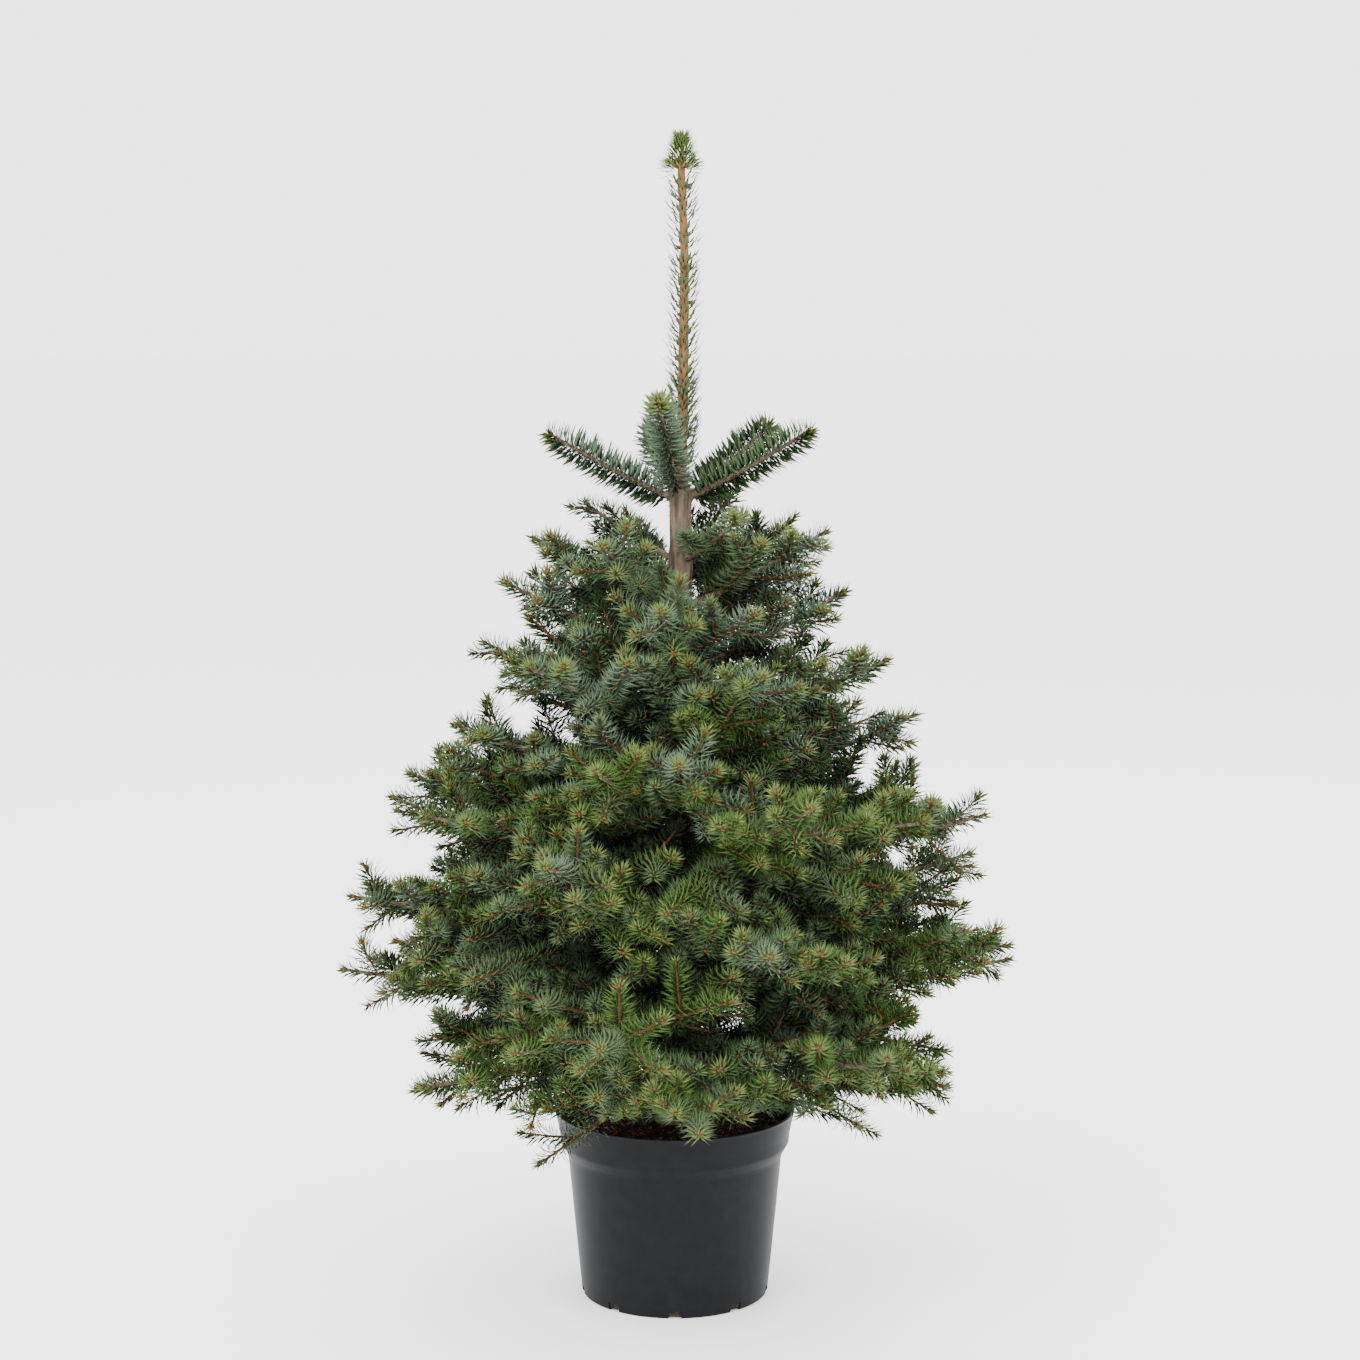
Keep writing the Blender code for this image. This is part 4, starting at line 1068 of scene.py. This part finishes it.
def tuftNeedles(start, tall, count, axis, girth, chance):
    share = (np.arange(count) + 0.5) / count
    turn = np.arange(count) * math.radians(goldenAngle)
    right = np.cross(axis, [0.0, 1.0, 0.0])
    right = right / np.linalg.norm(right)
    above = np.cross(right, axis)
    spoke = right * np.cos(turn)[:, None] + above * np.sin(turn)[:, None]
    narrowed = girth * (1.0 - topTuft["taper"] * share)
    roots = start + axis * (share * tall)[:, None] + spoke * narrowed[:, None]
    least, more = topTuft["steep"]
    steep = least + more * share + swing(chance, topTuft["steepVary"], count)
    headings = unit(spoke + axis * steep[:, None])
    lengths = topTuft["long"] * chance.uniform(*topTuft["longVary"], count)
    lengths = lengths * (1.0 - topTuft["upperShorter"] * share)
    room = (stem["top"] - roots[:, 2]) / np.maximum(headings[:, 2], topTuft["levelled"])
    lengths = np.minimum(lengths, np.maximum(room, topTuft["shortest"]))
    width = np.full(count, needleForm["wide"] * topTuft["wide"])
    return needlePoints(roots, headings, spoke + axis * topTuft["facing"], lengths, topTuft["curve"], width)


def makeTop():
    chance = np.random.default_rng(topTuft["seed"])
    foot = np.array(tuple(stemMiddle(stem["leaderTop"])))
    start = foot - upwards * topTuft["sunk"]
    stacks = [tuftNeedles(start, topTuft["tall"], topTuft["needles"], upwards, topTuft["girth"], chance)]
    for degrees in topTuft["sideTurns"]:
        turn = math.radians(degrees)
        lean = np.array([math.cos(turn), math.sin(turn), topTuft["sideSteep"]])
        beside = np.array([math.cos(turn), math.sin(turn), 0.0]) * topTuft["sideOut"]
        stacks.append(tuftNeedles(start + beside, topTuft["sideTall"], topTuft["sideNeedles"],
                                  lean / np.linalg.norm(lean), topTuft["sideGirth"], chance))
    finishes = needleFinishes("tuft", topTuft["colours"], softRoughness)
    needlePiece("top_tuft_needles", np.concatenate(stacks), finishes, ["top_tuft"])
    roots = [foot - upwards * topTuft["budSunk"]]
    headings = [upwards]
    for number in range(topTuft["buds"] - 1):
        turn = math.radians(topTuft["ringTurn"] + topTuft["ringStep"] * number)
        out = np.array([math.cos(turn), math.sin(turn), 0.0])
        roots.append(foot + out * topTuft["ringOut"] - upwards * topTuft["ringSunk"])
        headings.append(out + upwards * topTuft["ringSteep"])
    lengths = np.array([topTuft["budLong"]] + [topTuft["ringLong"]] * (topTuft["buds"] - 1))
    finish = plainMaterial("topBud", budTones["brown"], topTuft["budRoughness"])
    lumpPiece("top_buds", np.array(roots), unit(np.array(headings)), lengths, topTuft["budGirth"],
              topTuft["budCorners"], finish)


# stage: a plain pale floor and soft studio light
studio = {"floorSize": 60.0, "floorColour": (0.97, 0.97, 0.97), "floorRoughness": 0.7,
          "sky": (1.0, 1.0, 1.0), "skyStrength": 3.4, "aim": (0.0, 0.0, 0.6)}
lamps = {
    "keyLight": {"place": (-1.8, -2.6, 3.2), "size": 2.2, "power": 150.0},
    "fillLight": {"place": (2.6, -2.0, 2.0), "size": 2.4, "power": 50.0},
    "backLight": {"place": (0.8, 2.6, 3.0), "size": 2.0, "power": 60.0},
}


def addStage():
    letGo()
    bpy.ops.mesh.primitive_plane_add(size=studio["floorSize"], location=(0.0, 0.0, 0.0))
    floor = bpy.context.object
    floor.name = "studio_floor"
    floor.data.materials.append(plainMaterial("paleFloor", studio["floorColour"], studio["floorRoughness"]))
    world = bpy.data.worlds.new("studioSky")
    world.use_nodes = True
    sky = world.node_tree.nodes["Background"]
    sky.inputs["Color"].default_value = (*studio["sky"], 1.0)
    sky.inputs["Strength"].default_value = studio["skyStrength"]
    bpy.context.scene.world = world
    for name, form in lamps.items():
        light = bpy.data.lights.new(name, "AREA")
        light.size = form["size"]
        light.energy = form["power"]
        lamp = bpy.data.objects.new(name, light)
        bpy.context.scene.collection.objects.link(lamp)
        lamp.location = form["place"]
        aim = Vector(studio["aim"]) - Vector(form["place"])
        lamp.rotation_euler = aim.to_track_quat("-Z", "Y").to_euler()


addCamera()
makePot()
makeSoil()
makeCrumbs()
print("pot and compost made")
boughs = listBoughs() + listInnerBoughs()
shoots = growShoots(boughs)
print("shoots", len(shoots), "metres", round(sum(shoot["length"] for shoot in shoots), 1))
makeTrunk()
makeBoughs(boughs)
makeTwigs(shoots)
print("trunk, boughs and twigs made")
makeNeedles(shoots)
makeBuds(shoots)
leaderChance = np.random.default_rng(leader["seed"])
makeLeaderNeedles(leaderChance)
makeLeaderBuds(leaderChance)
makeTop()
print("foliage made")
addStage()
